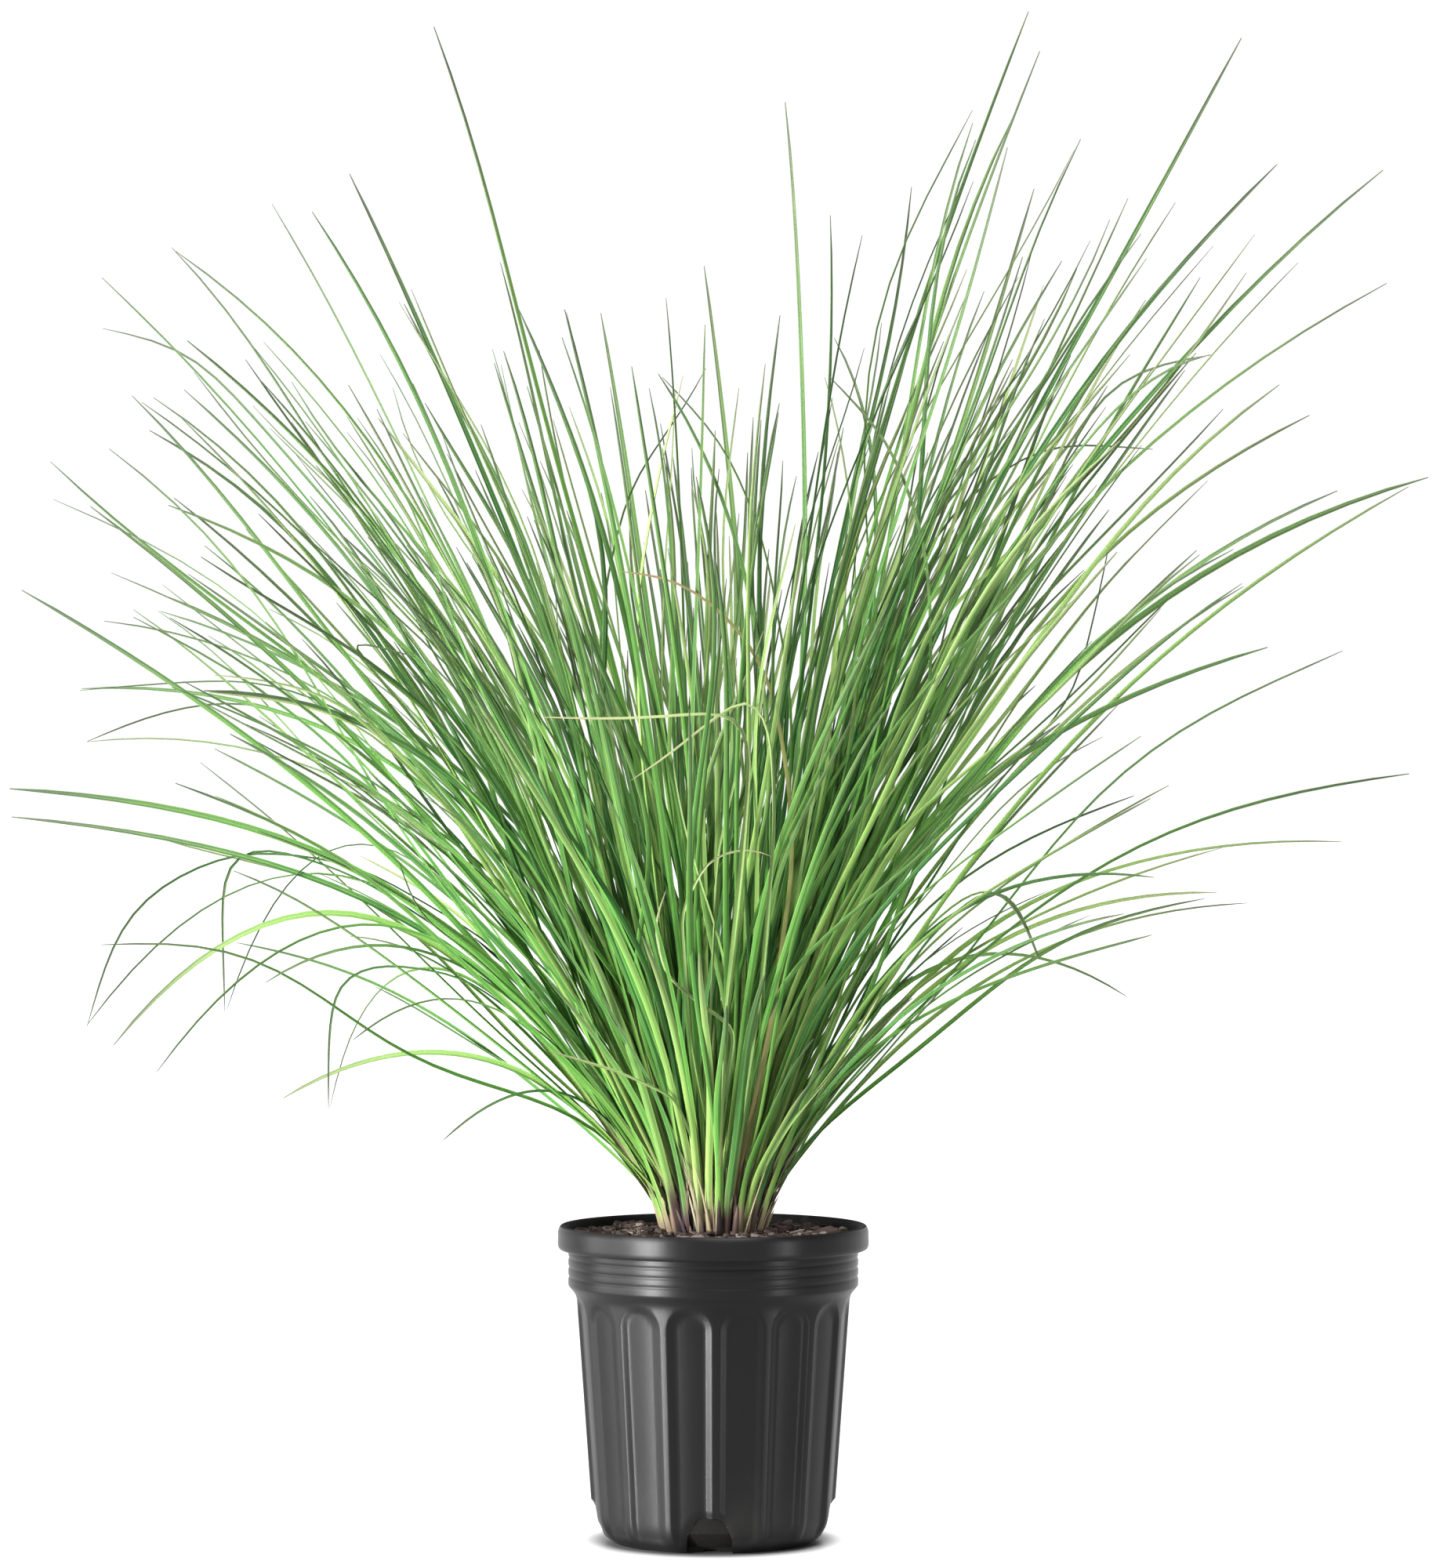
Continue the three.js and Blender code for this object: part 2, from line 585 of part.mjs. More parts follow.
// One slice of the ground plan, from the axis out past the leaf tips, clear of its neighbours.
function bunchSlice(bunch) {
  const half = BUNCH_ANGLE / 2;
  const apex = BUNCH_GAP / 2 / Math.sin(half);
  const outline = new THREE.Shape();
  outline.moveTo(apex, 0);
  outline.lineTo(apex + PLANT_REACH, -PLANT_REACH * Math.tan(half));
  outline.lineTo(apex + PLANT_REACH, PLANT_REACH * Math.tan(half));
  const slice = new THREE.ExtrudeGeometry(outline, { depth: PLANT_HEIGHT, bevelEnabled: false });
  return solidOf(slice.rotateZ(bunch * BUNCH_ANGLE));
}

// The packed leaf bases: a flaring plug whose sides and top are ridged like the blades round it.
function makeCore() {
  const foot = CLUMP_HOLE_FLOOR + CLEARANCE;
  const profile = [
    [0, foot],
    [CORE_RADIUS, foot],
    [CORE_RADIUS, SOIL_HEIGHT],
    [CORE_TOP_RADIUS, CORE_TOP_HEIGHT],
    [0, CORE_HEIGHT],
  ];
  const core = turned(profile, CORE_SIDES);
  const position = core.attributes.position;
  for (let i = 0; i < position.count; i += 1) {
    const height = position.getZ(i);
    const radius = Math.hypot(position.getX(i), position.getY(i));
    const turn = Math.atan2(position.getY(i), position.getX(i));
    const step = Math.round((turn * CORE_SIDES) / (2 * Math.PI));
    if (height > SOIL_HEIGHT + 1 && radius > 1 && step % 2 !== 0) {
      const share = 1 - (CORE_RIDGE * 2) / radius;
      position.setXYZ(i, position.getX(i) * share, position.getY(i) * share, height + CORE_RIDGE);
    }
  }
  return solidOf(core);
}

// The room round the core that the dry sheaths stand in, which the leaves are kept out of.
function sheathRoom() {
  const inner = CORE_RADIUS + 0.05;
  const top = SOIL_HEIGHT + SHEATH_REACH;
  const profile = [
    [inner, CLUMP_HOLE_FLOOR],
    [RIM_RADIUS, CLUMP_HOLE_FLOOR],
    [RIM_RADIUS, top],
    [inner + SHEATH_REACH * SHEATH_SLOPE, top],
    [inner, SOIL_HEIGHT],
    [inner, CLUMP_HOLE_FLOOR],
  ];
  return solidOf(turned(profile, POT_SIDES));
}

function makeLeafBunches() {
  const draw = drawsFrom(LEAF_SEED);
  const leaves = OUTLINE_LEAVES.map((values) => outlineLeaf(values, draw));
  for (let i = 0; i < FILL_LEAF_COUNT; i += 1) {
    leaves.push(fillLeaf(i, draw));
  }
  for (let i = 0; i < YOUNG_LEAF_COUNT; i += 1) {
    leaves.push(youngLeaf(i, draw));
  }
  const core = makeCore();
  const room = sheathRoom();
  return BUNCH_NAMES.map((name, bunch) => {
    let tuft = core;
    for (const leaf of leaves.filter((each) => each.bunch === bunch)) {
      tuft = tuft.add(bladeSolid(leaf, LEAF_THICKNESS));
    }
    const cut = tuft.intersect(bunchSlice(bunch)).subtract(room);
    return meshOf(name, mainBody(cut), FINISHES.leaf);
  });
}

const plant = new THREE.Group();
plant.add(makePot(), makePottingMix(), makeDrySheaths(), ...makeLeafBunches());

export default plant;
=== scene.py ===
import math
import random

import bpy
import numpy as np
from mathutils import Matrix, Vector, noise


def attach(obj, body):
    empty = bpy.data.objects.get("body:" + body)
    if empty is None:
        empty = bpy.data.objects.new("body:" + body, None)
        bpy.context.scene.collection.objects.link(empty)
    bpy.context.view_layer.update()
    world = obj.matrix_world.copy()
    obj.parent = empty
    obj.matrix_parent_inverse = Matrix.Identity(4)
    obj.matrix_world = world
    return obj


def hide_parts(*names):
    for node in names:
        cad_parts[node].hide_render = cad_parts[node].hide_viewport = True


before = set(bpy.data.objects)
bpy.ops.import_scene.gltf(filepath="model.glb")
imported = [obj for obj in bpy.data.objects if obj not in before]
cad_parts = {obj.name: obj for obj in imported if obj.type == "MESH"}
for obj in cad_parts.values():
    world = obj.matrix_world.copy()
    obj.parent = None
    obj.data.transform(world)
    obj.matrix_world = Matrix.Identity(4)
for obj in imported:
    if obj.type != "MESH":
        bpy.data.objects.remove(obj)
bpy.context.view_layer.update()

# The view: level with the middle of the leaves, far enough back that the pot's rim shows as a thin
# oval. The frame is a little taller than the plant.
VIEW_DISTANCE = 2.83
VIEW_HEIGHT = 0.4005
VIEW_X = 0.0025
FRAME_HEIGHT = 0.8312
SENSOR = 36

camera = bpy.data.objects.new("camera", bpy.data.cameras.new("camera"))
bpy.context.scene.collection.objects.link(camera)
camera.location = (VIEW_X, -VIEW_DISTANCE, VIEW_HEIGHT)
camera.rotation_euler = (math.pi / 2, 0, 0)
camera.data.sensor_width = SENSOR
camera.data.lens = SENSOR * VIEW_DISTANCE / FRAME_HEIGHT
bpy.context.scene.camera = camera


# Pot: a one-gallon nursery pot, blow-moulded in one piece from black plastic. Its rim is rolled,
# its collar ringed, and arched panels are pressed into its side. Four drain holes open in its foot.
POT_HEIGHT = 0.167
RIM_RADIUS = 0.0825
COLLAR_RADIUS = 0.0769
COLLAR_FOOT = 0.1352
SHOULDER_RADIUS = 0.0725
SHOULDER_HEIGHT = 0.130
SIDE_TOP = 0.1345
FOOT_RADIUS = 0.064
FOOT_HEIGHT = 0.011
BASE_RADIUS = 0.0525
WALL = 0.0032
POT_FLOOR = 0.003
UNDERSIDE = 0.0005
GROOVE_HEIGHTS = (0.140, 0.145, 0.150)
GROOVE_DEPTH = 0.0005
GROOVE_HALF_WIDTH = 0.0013

# The pressed panels: each is a long field with straight flanks and a round arch on top, and runs
# out over the foot.
PANEL_COUNT = 16
PANEL_TURN = math.radians(1.2)
PANEL_PITCH = 2 * math.pi / PANEL_COUNT
PANEL_DEPTH = 0.0018
PANEL_HALF_WIDTH = 0.0122
PANEL_FLANK = 0.0038
PANEL_START = 0.003
PANEL_RUN_OUT = 0.006
ARCH_BASE = 0.1172

# The drain holes: half of their outline, from the middle of the hole and from the ground, how far
# in they reach, and the lip that the wall makes round them. Channels lead to them from a ring.
DRAIN_COUNT = 4
DRAIN_PITCH = 2 * math.pi / DRAIN_COUNT
DRAIN_TURN = math.radians(-1.9)
DRAIN_OUTLINE = ((0.01175, -0.004), (0.01175, 0.0075), (0.0107, 0.0112), (0.0079, 0.0163),
                 (0.0066, 0.0182), (0.0046, 0.0196))
DRAIN_DEPTH = 0.0075
LIP_WIDTH = 0.0026
LIP_DEPTH = 0.0018
CHANNEL_WIDTH = 0.007
CHANNEL_DEPTH = 0.0012
CHANNEL_FLANK = 0.001
RING_RADIUS = 0.018

# How fine the mesh is: the step between rows of the wall, and the heights that it holds for. The
# columns are in degrees from the middle of a panel, closest together on its flanks.
WALL_ROWS = ((0.0009, 0.106, SIDE_TOP), (0.0022, 0.0, 0.030), (0.008, 0.030, 0.106))
PANEL_COLUMNS = (-11.25, -10.3, -9.7, -9.2, -8.7, -8.2, -7.7, -7.2, -6.6, -5, -2.5,
                 0, 2.5, 5, 6.6, 7.2, 7.7, 8.2, 8.7, 9.2, 9.7, 10.3)
EDGE_ANGLE = math.radians(38)


class Value:
    """A socket in a finish's nodes. An expression on values adds the Math nodes that it needs."""

    def __init__(self, finish, socket):
        self.finish = finish
        self.socket = socket

    def maths(self, operation, first, second=None):
        values = {0: first} if second is None else {0: first, 1: second}
        return self.finish.node("ShaderNodeMath", {"operation": operation}, values)

    def __add__(self, other):
        return self.maths("ADD", self, other)

    def __sub__(self, other):
        return self.maths("SUBTRACT", self, other)

    def __rsub__(self, other):
        return self.maths("SUBTRACT", other, self)

    def __mul__(self, other):
        return self.maths("MULTIPLY", self, other)

    def __abs__(self):
        return self.maths("ABSOLUTE", self)

    __radd__ = __add__
    __rmul__ = __mul__

    def between(self, low, high):
        """0 below low, 1 above high, and a smooth rise from one to the other."""
        settings = {"interpolation_type": "SMOOTHSTEP"}
        return self.finish.node("ShaderNodeMapRange", settings, {0: self, 1: low, 2: high})


class Finish:
    """A material. Sockets that are the same all over are set when it is made."""

    def __init__(self, name, **sockets):
        self.material = bpy.data.materials.new(name)
        self.material.use_nodes = True
        self.tree = self.material.node_tree
        self.shader = self.tree.nodes["Principled BSDF"]
        self.surface(**sockets)

    def give(self, socket, value):
        if isinstance(value, Value):
            self.tree.links.new(value.socket, socket)
        else:
            socket.default_value = value

    def node(self, kind, settings=None, values=None, output=0):
        """A node of a kind, with its settings and the values or links of its sockets."""
        made = self.tree.nodes.new(kind)
        for name, value in (settings or {}).items():
            if name == "stops":
                ramp = made.color_ramp
                while len(ramp.elements) < len(value):
                    ramp.elements.new(1)
                for element, (place, colour) in zip(ramp.elements, value):
                    element.position = place
                    element.color = (*colour, 1)
            else:
                setattr(made, name, value)
        for socket, value in (values or {}).items():
            self.give(made.inputs[socket], value)
        return Value(self, made.outputs[output])

    def mix(self, factor, first, second):
        """One colour over another, by a factor from 0 to 1."""
        colours = {0: factor}
        for socket, colour in ((6, first), (7, second)):
            colours[socket] = colour if isinstance(colour, Value) else (*colour, 1)
        return self.node("ShaderNodeMix", {"data_type": "RGBA"}, colours, output=2)

    def spot(self, stretch=(1, 1, 1)):
        """Where a point is, in metres, stretched along each axis."""
        spot = self.node("ShaderNodeTexCoord", output="Object")
        return self.node("ShaderNodeVectorMath", {"operation": "MULTIPLY"}, {0: spot, 1: stretch})

    def kept(self, name, output="Vector"):
        """What a mesh keeps at each of its points under a name."""
        return self.node("ShaderNodeAttribute", {"attribute_name": name}, output=output)

    def parts(self, vector, axes="XYZ"):
        """The numbers that a vector holds along the axes named."""
        return [self.node("ShaderNodeSeparateXYZ", None, {0: vector}, axis) for axis in axes]

    def joined(self, x, y, z):
        return self.node("ShaderNodeCombineXYZ", None, {0: x, 1: y, 2: z})

    def speckle(self, vector, scale, detail=2, roughness=0.5):
        values = {"Vector": vector, "Scale": scale, "Detail": detail, "Roughness": roughness}
        return self.node("ShaderNodeTexNoise", None, values)

    def ramp(self, factor, *stops):
        return self.node("ShaderNodeValToRGB", {"stops": stops}, {0: factor})

    def relief(self, height, strength, depth):
        values = {"Strength": strength, "Distance": depth, "Height": height}
        return self.node("ShaderNodeBump", None, values)

    def surface(self, **sockets):
        for socket, value in sockets.items():
            self.give(self.shader.inputs[socket.replace("_", " ")], value)
        return self.material


def put_in_place(name, mesh, material, slot_name, *nodes):
    """A piece on the root body, in the place of the CAD nodes named. The slot name is not used."""
    piece = bpy.data.objects.new(name, mesh)
    bpy.context.scene.collection.objects.link(piece)
    mesh.materials.append(material)
    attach(piece, "root")
    if nodes:
        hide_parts(*nodes)


def smooth(share):
    """A rise from 0 to 1 that starts and ends gently."""
    share = np.clip(share, 0, 1)
    return share * share * (3 - 2 * share)


def ramped(share):
    """A straight rise from 0 to 1 with a little rounding at its two ends."""
    rounding = 0.24
    half = rounding / 2
    share = np.clip(share, -half, 1 + half)
    low = (share + half) ** 2 / (2 * rounding)
    high = 1 - (1 + half - share) ** 2 / (2 * rounding)
    return np.where(share < half, low, np.where(share > 1 - half, high, share))


def softened(corners, steps=4):
    """A line through corners of radius, height and rounding, each corner rounded by that much."""
    spots = np.array(corners, float)
    line = [spots[0, :2]]
    most = 0.49
    for before, corner, after in zip(spots, spots[1:], spots[2:]):
        rounding = corner[2]
        if rounding == 0:
            line.append(corner[:2])
            continue
        ends = []
        for other in (before, after):
            away = other[:2] - corner[:2]
            ends.append(corner[:2] + away * min(rounding / np.linalg.norm(away), most))
        for share in np.linspace(0, 1, steps + 1):
            low = ends[0] + (corner[:2] - ends[0]) * share
            high = corner[:2] + (ends[1] - corner[:2]) * share
            line.append(low + (high - low) * share)
    line.append(spots[-1, :2])
    return np.array(line)


def finer(line, step, low, high):
    """Adds points where a line rises between two heights, so that it steps up by step at most."""
    fine = [line[0]]
    least = step / 9
    for start, end in zip(line, line[1:]):
        rise = end[1] - start[1]
        bottom, top = max(start[1], low), min(end[1], high)
        if rise > 0 and top > bottom:
            for up in np.linspace(bottom, top, math.ceil((top - bottom) / step) + 1):
                if start[1] + least < up < end[1] - least:
                    fine.append(start + (end - start) * (up - start[1]) / rise)
        fine.append(end)
    return np.array(fine)


def ring_faces(rows, columns):
    """The faces of a turned body: quads between its rows, and a lid on its first and last row."""
    row, column = np.meshgrid(np.arange(rows - 1), np.arange(columns), indexing="ij")
    nearby = (column + 1) % columns
    quads = (row * columns + column, row * columns + nearby,
             (row + 1) * columns + nearby, (row + 1) * columns + column)
    last = (rows - 1) * columns
    lids = [list(range(columns))[::-1], list(range(last, last + columns))]
    return np.stack(quads, -1).reshape(-1, 4).tolist() + lids


def drain_distance(across, height):
    """How far a point of the wall is outside a drain hole's outline: in the hole, below zero."""
    outline = np.array(DRAIN_OUTLINE + ((0, DRAIN_OUTLINE[-1][1]),))
    across = np.abs(across)
    nearest = np.full(np.shape(across), 1.0)
    inside = np.ones(np.shape(across), bool)
    for (x0, z0), (x1, z1) in zip(outline, outline[1:]):
        dx, dz = x1 - x0, z1 - z0
        share = np.clip(((across - x0) * dx + (height - z0) * dz) / (dx * dx + dz * dz), 0, 1)
        gap = np.hypot(across - x0 - share * dx, height - z0 - share * dz)
        nearest = np.minimum(nearest, gap)
        inside &= dx * (height - z0) - dz * (across - x0) > 0
    return np.where(inside, -nearest, nearest)


def pot_inside():
    """The line of the pot's inner side, from its floor up to the collar: radius and height."""
    return [(BASE_RADIUS - 0.001, POT_FLOOR), (FOOT_RADIUS - WALL, FOOT_HEIGHT),
            (SHOULDER_RADIUS - WALL, SHOULDER_HEIGHT),
            (COLLAR_RADIUS - WALL, SHOULDER_HEIGHT + 0.005)]


# The outer side, from the middle of the underside up over the rim: radius, height and rounding.
outside = [(0.004, 0, 0), (0.010, 0, 0), (RING_RADIUS - 0.001, 0, 0), (RING_RADIUS + 0.001, 0, 0),
           (0.028, 0, 0), (0.040, 0, 0), (0.050, 0, 0), (BASE_RADIUS, 0, 0.0012),
           (0.056, 0.002, 0.0018), (0.060, 0.005, 0.003), (FOOT_RADIUS, FOOT_HEIGHT, 0.005),
           (SHOULDER_RADIUS, SHOULDER_HEIGHT, 0.0035), (0.0757, 0.1338, 0.0012),
           (COLLAR_RADIUS, COLLAR_FOOT, 0.0009)]
for height in GROOVE_HEIGHTS:
    outside += [(COLLAR_RADIUS, height - GROOVE_HALF_WIDTH, 0.0007),
                (COLLAR_RADIUS - GROOVE_DEPTH, height, 0.0005),
                (COLLAR_RADIUS, height + GROOVE_HALF_WIDTH, 0.0007)]
outside += [(COLLAR_RADIUS - 0.0002, 0.154, 0.0005), (0.0815, 0.1542, 0.0016),
            (RIM_RADIUS, 0.1563, 0.0014), (RIM_RADIUS - 0.0002, 0.1645, 0.0016),
            (RIM_RADIUS - 0.0016, POT_HEIGHT, 0.0012),
            (RIM_RADIUS - 0.0034, POT_HEIGHT - 0.0002, 0.0009),
            (RIM_RADIUS - 0.0047, POT_HEIGHT - 0.0015, 0.0012), (0.0752, 0.1535, 0.002),
            (*pot_inside()[-1], 0.002)]
pot_line = softened(outside)
for band in WALL_ROWS:
    pot_line = finer(pot_line, *band)
pot_line = np.concatenate([pot_line, pot_inside()[-2::-1], [(0.004, POT_FLOOR)]])
columns = np.concatenate([PANEL_TURN + (i + 0.5) * PANEL_PITCH - math.pi / 2
                          + np.radians(PANEL_COLUMNS) for i in range(PANEL_COUNT)])

turn, radius = np.meshgrid(columns, pot_line[:, 0])
height = np.repeat(pot_line[:, 1:2], len(columns), 1)
outer = (np.arange(len(pot_line)) < np.argmax(pot_line[:, 1] > SIDE_TOP))[:, None]
from_panel = (turn + math.pi / 2 - PANEL_TURN) % PANEL_PITCH - PANEL_PITCH / 2
from_arch = np.hypot(from_panel * SHOULDER_RADIUS, np.maximum(height - ARCH_BASE, 0))
panel_share = ramped((PANEL_HALF_WIDTH - from_arch) / PANEL_FLANK)
panel_share *= smooth((height - PANEL_START) / PANEL_RUN_OUT)
from_drain = (turn - DRAIN_TURN + DRAIN_PITCH / 2) % DRAIN_PITCH - DRAIN_PITCH / 2
lip_share = smooth(1 - drain_distance(from_drain * FOOT_RADIUS, height) / LIP_WIDTH)
pressed = radius - PANEL_DEPTH * panel_share - LIP_DEPTH * lip_share
radius = np.where(outer & (height > UNDERSIDE), pressed, radius)
in_channel = outer & (height < UNDERSIDE) & (radius > RING_RADIUS)
channel_share = smooth((CHANNEL_WIDTH / 2 - np.abs(from_drain) * radius) / CHANNEL_FLANK + 1)
height = np.where(in_channel, CHANNEL_DEPTH * channel_share, height)

points = np.stack([radius * np.cos(turn), radius * np.sin(turn), height], -1).reshape(-1, 3)
pot_mesh = bpy.data.meshes.new("pot")
pot_mesh.from_pydata(points.tolist(), [], ring_faces(len(pot_line), len(columns)))

hole_points, hole_faces = [], []
hole_outline = [(-x, z) for x, z in DRAIN_OUTLINE] + [(x, z) for x, z in DRAIN_OUTLINE[::-1]]
sides = len(hole_outline)
for i in range(DRAIN_COUNT):
    angle = DRAIN_TURN + i * DRAIN_PITCH - math.pi / 2
    start = len(hole_points)
    for reach in (BASE_RADIUS - DRAIN_DEPTH, RIM_RADIUS):
        for x, z in hole_outline:
            hole_points.append((reach * math.cos(angle) - x * math.sin(angle),
                                reach * math.sin(angle) + x * math.cos(angle), z))
    hole_faces.append(list(range(start, start + sides)))
    hole_faces.append(list(range(start + sides, start + 2 * sides))[::-1])
    for j in range(sides):
        k = (j + 1) % sides
        hole_faces.append([start + k, start + j, start + sides + j, start + sides + k])
hole_mesh = bpy.data.meshes.new("drain_holes")
hole_mesh.from_pydata(hole_points, [], hole_faces)
holes = bpy.data.objects.new("drain_holes", hole_mesh)
whole_pot = bpy.data.objects.new("whole_pot", pot_mesh)
for helper in (holes, whole_pot):
    bpy.context.scene.collection.objects.link(helper)
cut = whole_pot.modifiers.new("drain_holes", "BOOLEAN")
cut.object = holes
cut.operation = "DIFFERENCE"
cut.solver = "MANIFOLD"
bpy.context.view_layer.update()
cut_pot = whole_pot.evaluated_get(bpy.context.evaluated_depsgraph_get())
cut_mesh = bpy.data.meshes.new_from_object(cut_pot)
cut_mesh.name = "nursery_pot"
for helper in (holes, whole_pot):
    bpy.data.objects.remove(helper)
cut_mesh.shade_smooth()
cut_mesh.set_sharp_from_angle(angle=EDGE_ANGLE)
cut_mesh.materials.clear()

# The inner side above the mix is dull with dried dust. It starts at the rim's inner edge.
DULL_FROM = 0.12
RIM_EDGE = 0.0013
INNER_SLOPE = 0.45
for face in cut_mesh.polygons:
    inner_edge = RIM_RADIUS - RIM_EDGE - (POT_HEIGHT - face.center.z) * INNER_SLOPE
    away = math.hypot(face.center.x, face.center.y)
    face.material_index = int(face.center.z > DULL_FROM and away < inner_edge)

plastic = Finish("black_nursery_plastic", Specular_IOR_Level=0.2, Anisotropic=0.7,
                 Anisotropic_Rotation=0.25)
flow = plastic.speckle(plastic.spot((1, 1, 0.05)), 160, 3)
clouds = plastic.speckle(plastic.spot(), 22, 4, 0.6)
grain = plastic.speckle(plastic.spot(), 1500, 2)
height_up, = plastic.parts(plastic.spot(), "Z")
soiled = (1 - height_up.between(0.004, 0.05)) * clouds.between(0.35, 0.75)
splash = height_up.between(0.12, 0.165) * clouds.between(0.5, 0.72)
black = plastic.mix(clouds, (0.001, 0.001, 0.0012), (0.003, 0.003, 0.0032))
plastic.surface(
    Base_Color=plastic.mix(soiled * 0.06 + splash * 0.02, black, (0.10, 0.09, 0.078)),
    Roughness=0.36 + flow * 0.1 + soiled * 0.1,
    Normal=plastic.relief(flow * 0.7 + grain * 0.5, 0.16, 0.0004),
)
put_in_place("nursery_pot", cut_mesh, plastic.material, "pot_plastic", "pot")

dull = Finish("soiled_inside_plastic", Specular_IOR_Level=0.12)
dried = dull.speckle(dull.spot(), 90, 4, 0.6)
dust = dried.between(0.5, 0.75) * 0.5
dull.surface(
    Base_Color=dull.mix(dust, (0.006, 0.006, 0.006), (0.05, 0.042, 0.035)),
    Roughness=0.6 + dried * 0.3,
    Normal=dull.relief(dried, 0.2, 0.0004),
)
cut_mesh.materials.append(dull.material)


# Potting mix: composted bark with the root ball in it. It is packed in the pot to just below the
# rim, mounds up a little round the clump, and has chips of bark and paler slivers lying on it.
SOIL_HEIGHT = 0.161
SOIL_MOUND = 0.002
MOUND_SPREAD = 0.022
LUMP_HEIGHT, LUMP_FINENESS = 0.0016, 90
GRIT_HEIGHT, GRIT_FINENESS = 0.0009, 260
CLUMP_RADIUS = 0.027
CLEARANCE = 0.00035
BED_COLUMNS = 144
BED_RINGS = 42
CHIP_SIDES = 7
CHIP_RINGS = ((-1, 0.8), (-0.1, 1), (1, 0.78))
CHIP_EDGE_ANGLE = math.radians(32)
BED_TONE = 0.08

# What lies on the mix: how many, the least and most length, width and thickness, the most that they
# tilt, and their tones.
LOOSE_PIECES = (
    (330, (0.006, 0.014), (0.004, 0.008), (0.0016, 0.0034), 0.35, (0.15, 0.9)),
    (620, (0.0018, 0.004), (0.0014, 0.003), (0.0012, 0.0024), 0.9, (0.15, 0.9)),
    (46, (0.010, 0.019), (0.0012, 0.0022), (0.0007, 0.0012), 0.3, None),
)
LOOSE_NEAREST = 0.024
LOOSE_FARTHEST = 0.072
LOOSE_LIFT = 0.0014
MIX_SEED = 11


class Gathered:
    """Many small closed bodies in one mesh, with a tone for each, from 0 to 1."""

    def __init__(self):
        self.points, self.faces, self.tones = [], [], []

    def add(self, points, faces, tone):
        start = len(self.points)
        self.points.extend(points)
        self.faces.extend([start + i for i in face] for face in faces)
        self.tones.extend([tone] * len(points))

    def mesh(self, name):
        made = bpy.data.meshes.new(name)
        made.from_pydata([tuple(point) for point in self.points], [], self.faces)
        tones = made.attributes.new("tone", "FLOAT", "POINT")
        tones.data.foreach_set("value", np.array(self.tones, np.float32))
        return made


def turned_frame(draws, tilt):
    """Three axes at right angles: turned at random about the vertical and tilted by up to tilt."""
    up = Vector((draws.uniform(-tilt, tilt), draws.uniform(-tilt, tilt), 1)).normalized()
    heading = draws.uniform(0, 2 * math.pi)
    along = Vector((math.cos(heading), math.sin(heading), 0))
    along = (along - up * along.dot(up)).normalized()
    return along, up.cross(along), up


def chip_body(draws, middle, length, width, thickness, tilt):
    """A broken flake: an uneven slab whose top and underside are smaller than its middle."""
    along, aside, up = turned_frame(draws, tilt)
    radii = [draws.uniform(0.75, 1.15) for _ in range(CHIP_SIDES)]
    points = []
    for level, share in CHIP_RINGS:
        for i in range(CHIP_SIDES):
            angle = 2 * math.pi * i / CHIP_SIDES
            reach = radii[i] * share * draws.uniform(0.93, 1.07)
            lift = level * thickness / 2 * draws.uniform(0.7, 1.2)
            points.append(middle + along * (length / 2 * reach * math.cos(angle))
                          + aside * (width / 2 * reach * math.sin(angle)) + up * lift)
    faces = [list(range(CHIP_SIDES))[::-1], list(range(2 * CHIP_SIDES, 3 * CHIP_SIDES))]
    for row in (0, CHIP_SIDES):
        for i in range(CHIP_SIDES):
            j = (i + 1) % CHIP_SIDES
            faces.append([row + i, row + j, row + CHIP_SIDES + j, row + CHIP_SIDES + i])
    return points, faces


def soil_top(x, y):
    """Height of the mix at a place: rough, and raised round the clump."""
    spot = Vector((x, y, 0))
    from_clump = max(math.hypot(x, y) - CLUMP_RADIUS, 0)
    rise = SOIL_MOUND * math.exp(-((from_clump / MOUND_SPREAD) ** 2))
    lump = LUMP_HEIGHT * noise.noise(spot * LUMP_FINENESS)
    return SOIL_HEIGHT + rise + lump + GRIT_HEIGHT * noise.noise(spot * GRIT_FINENESS)


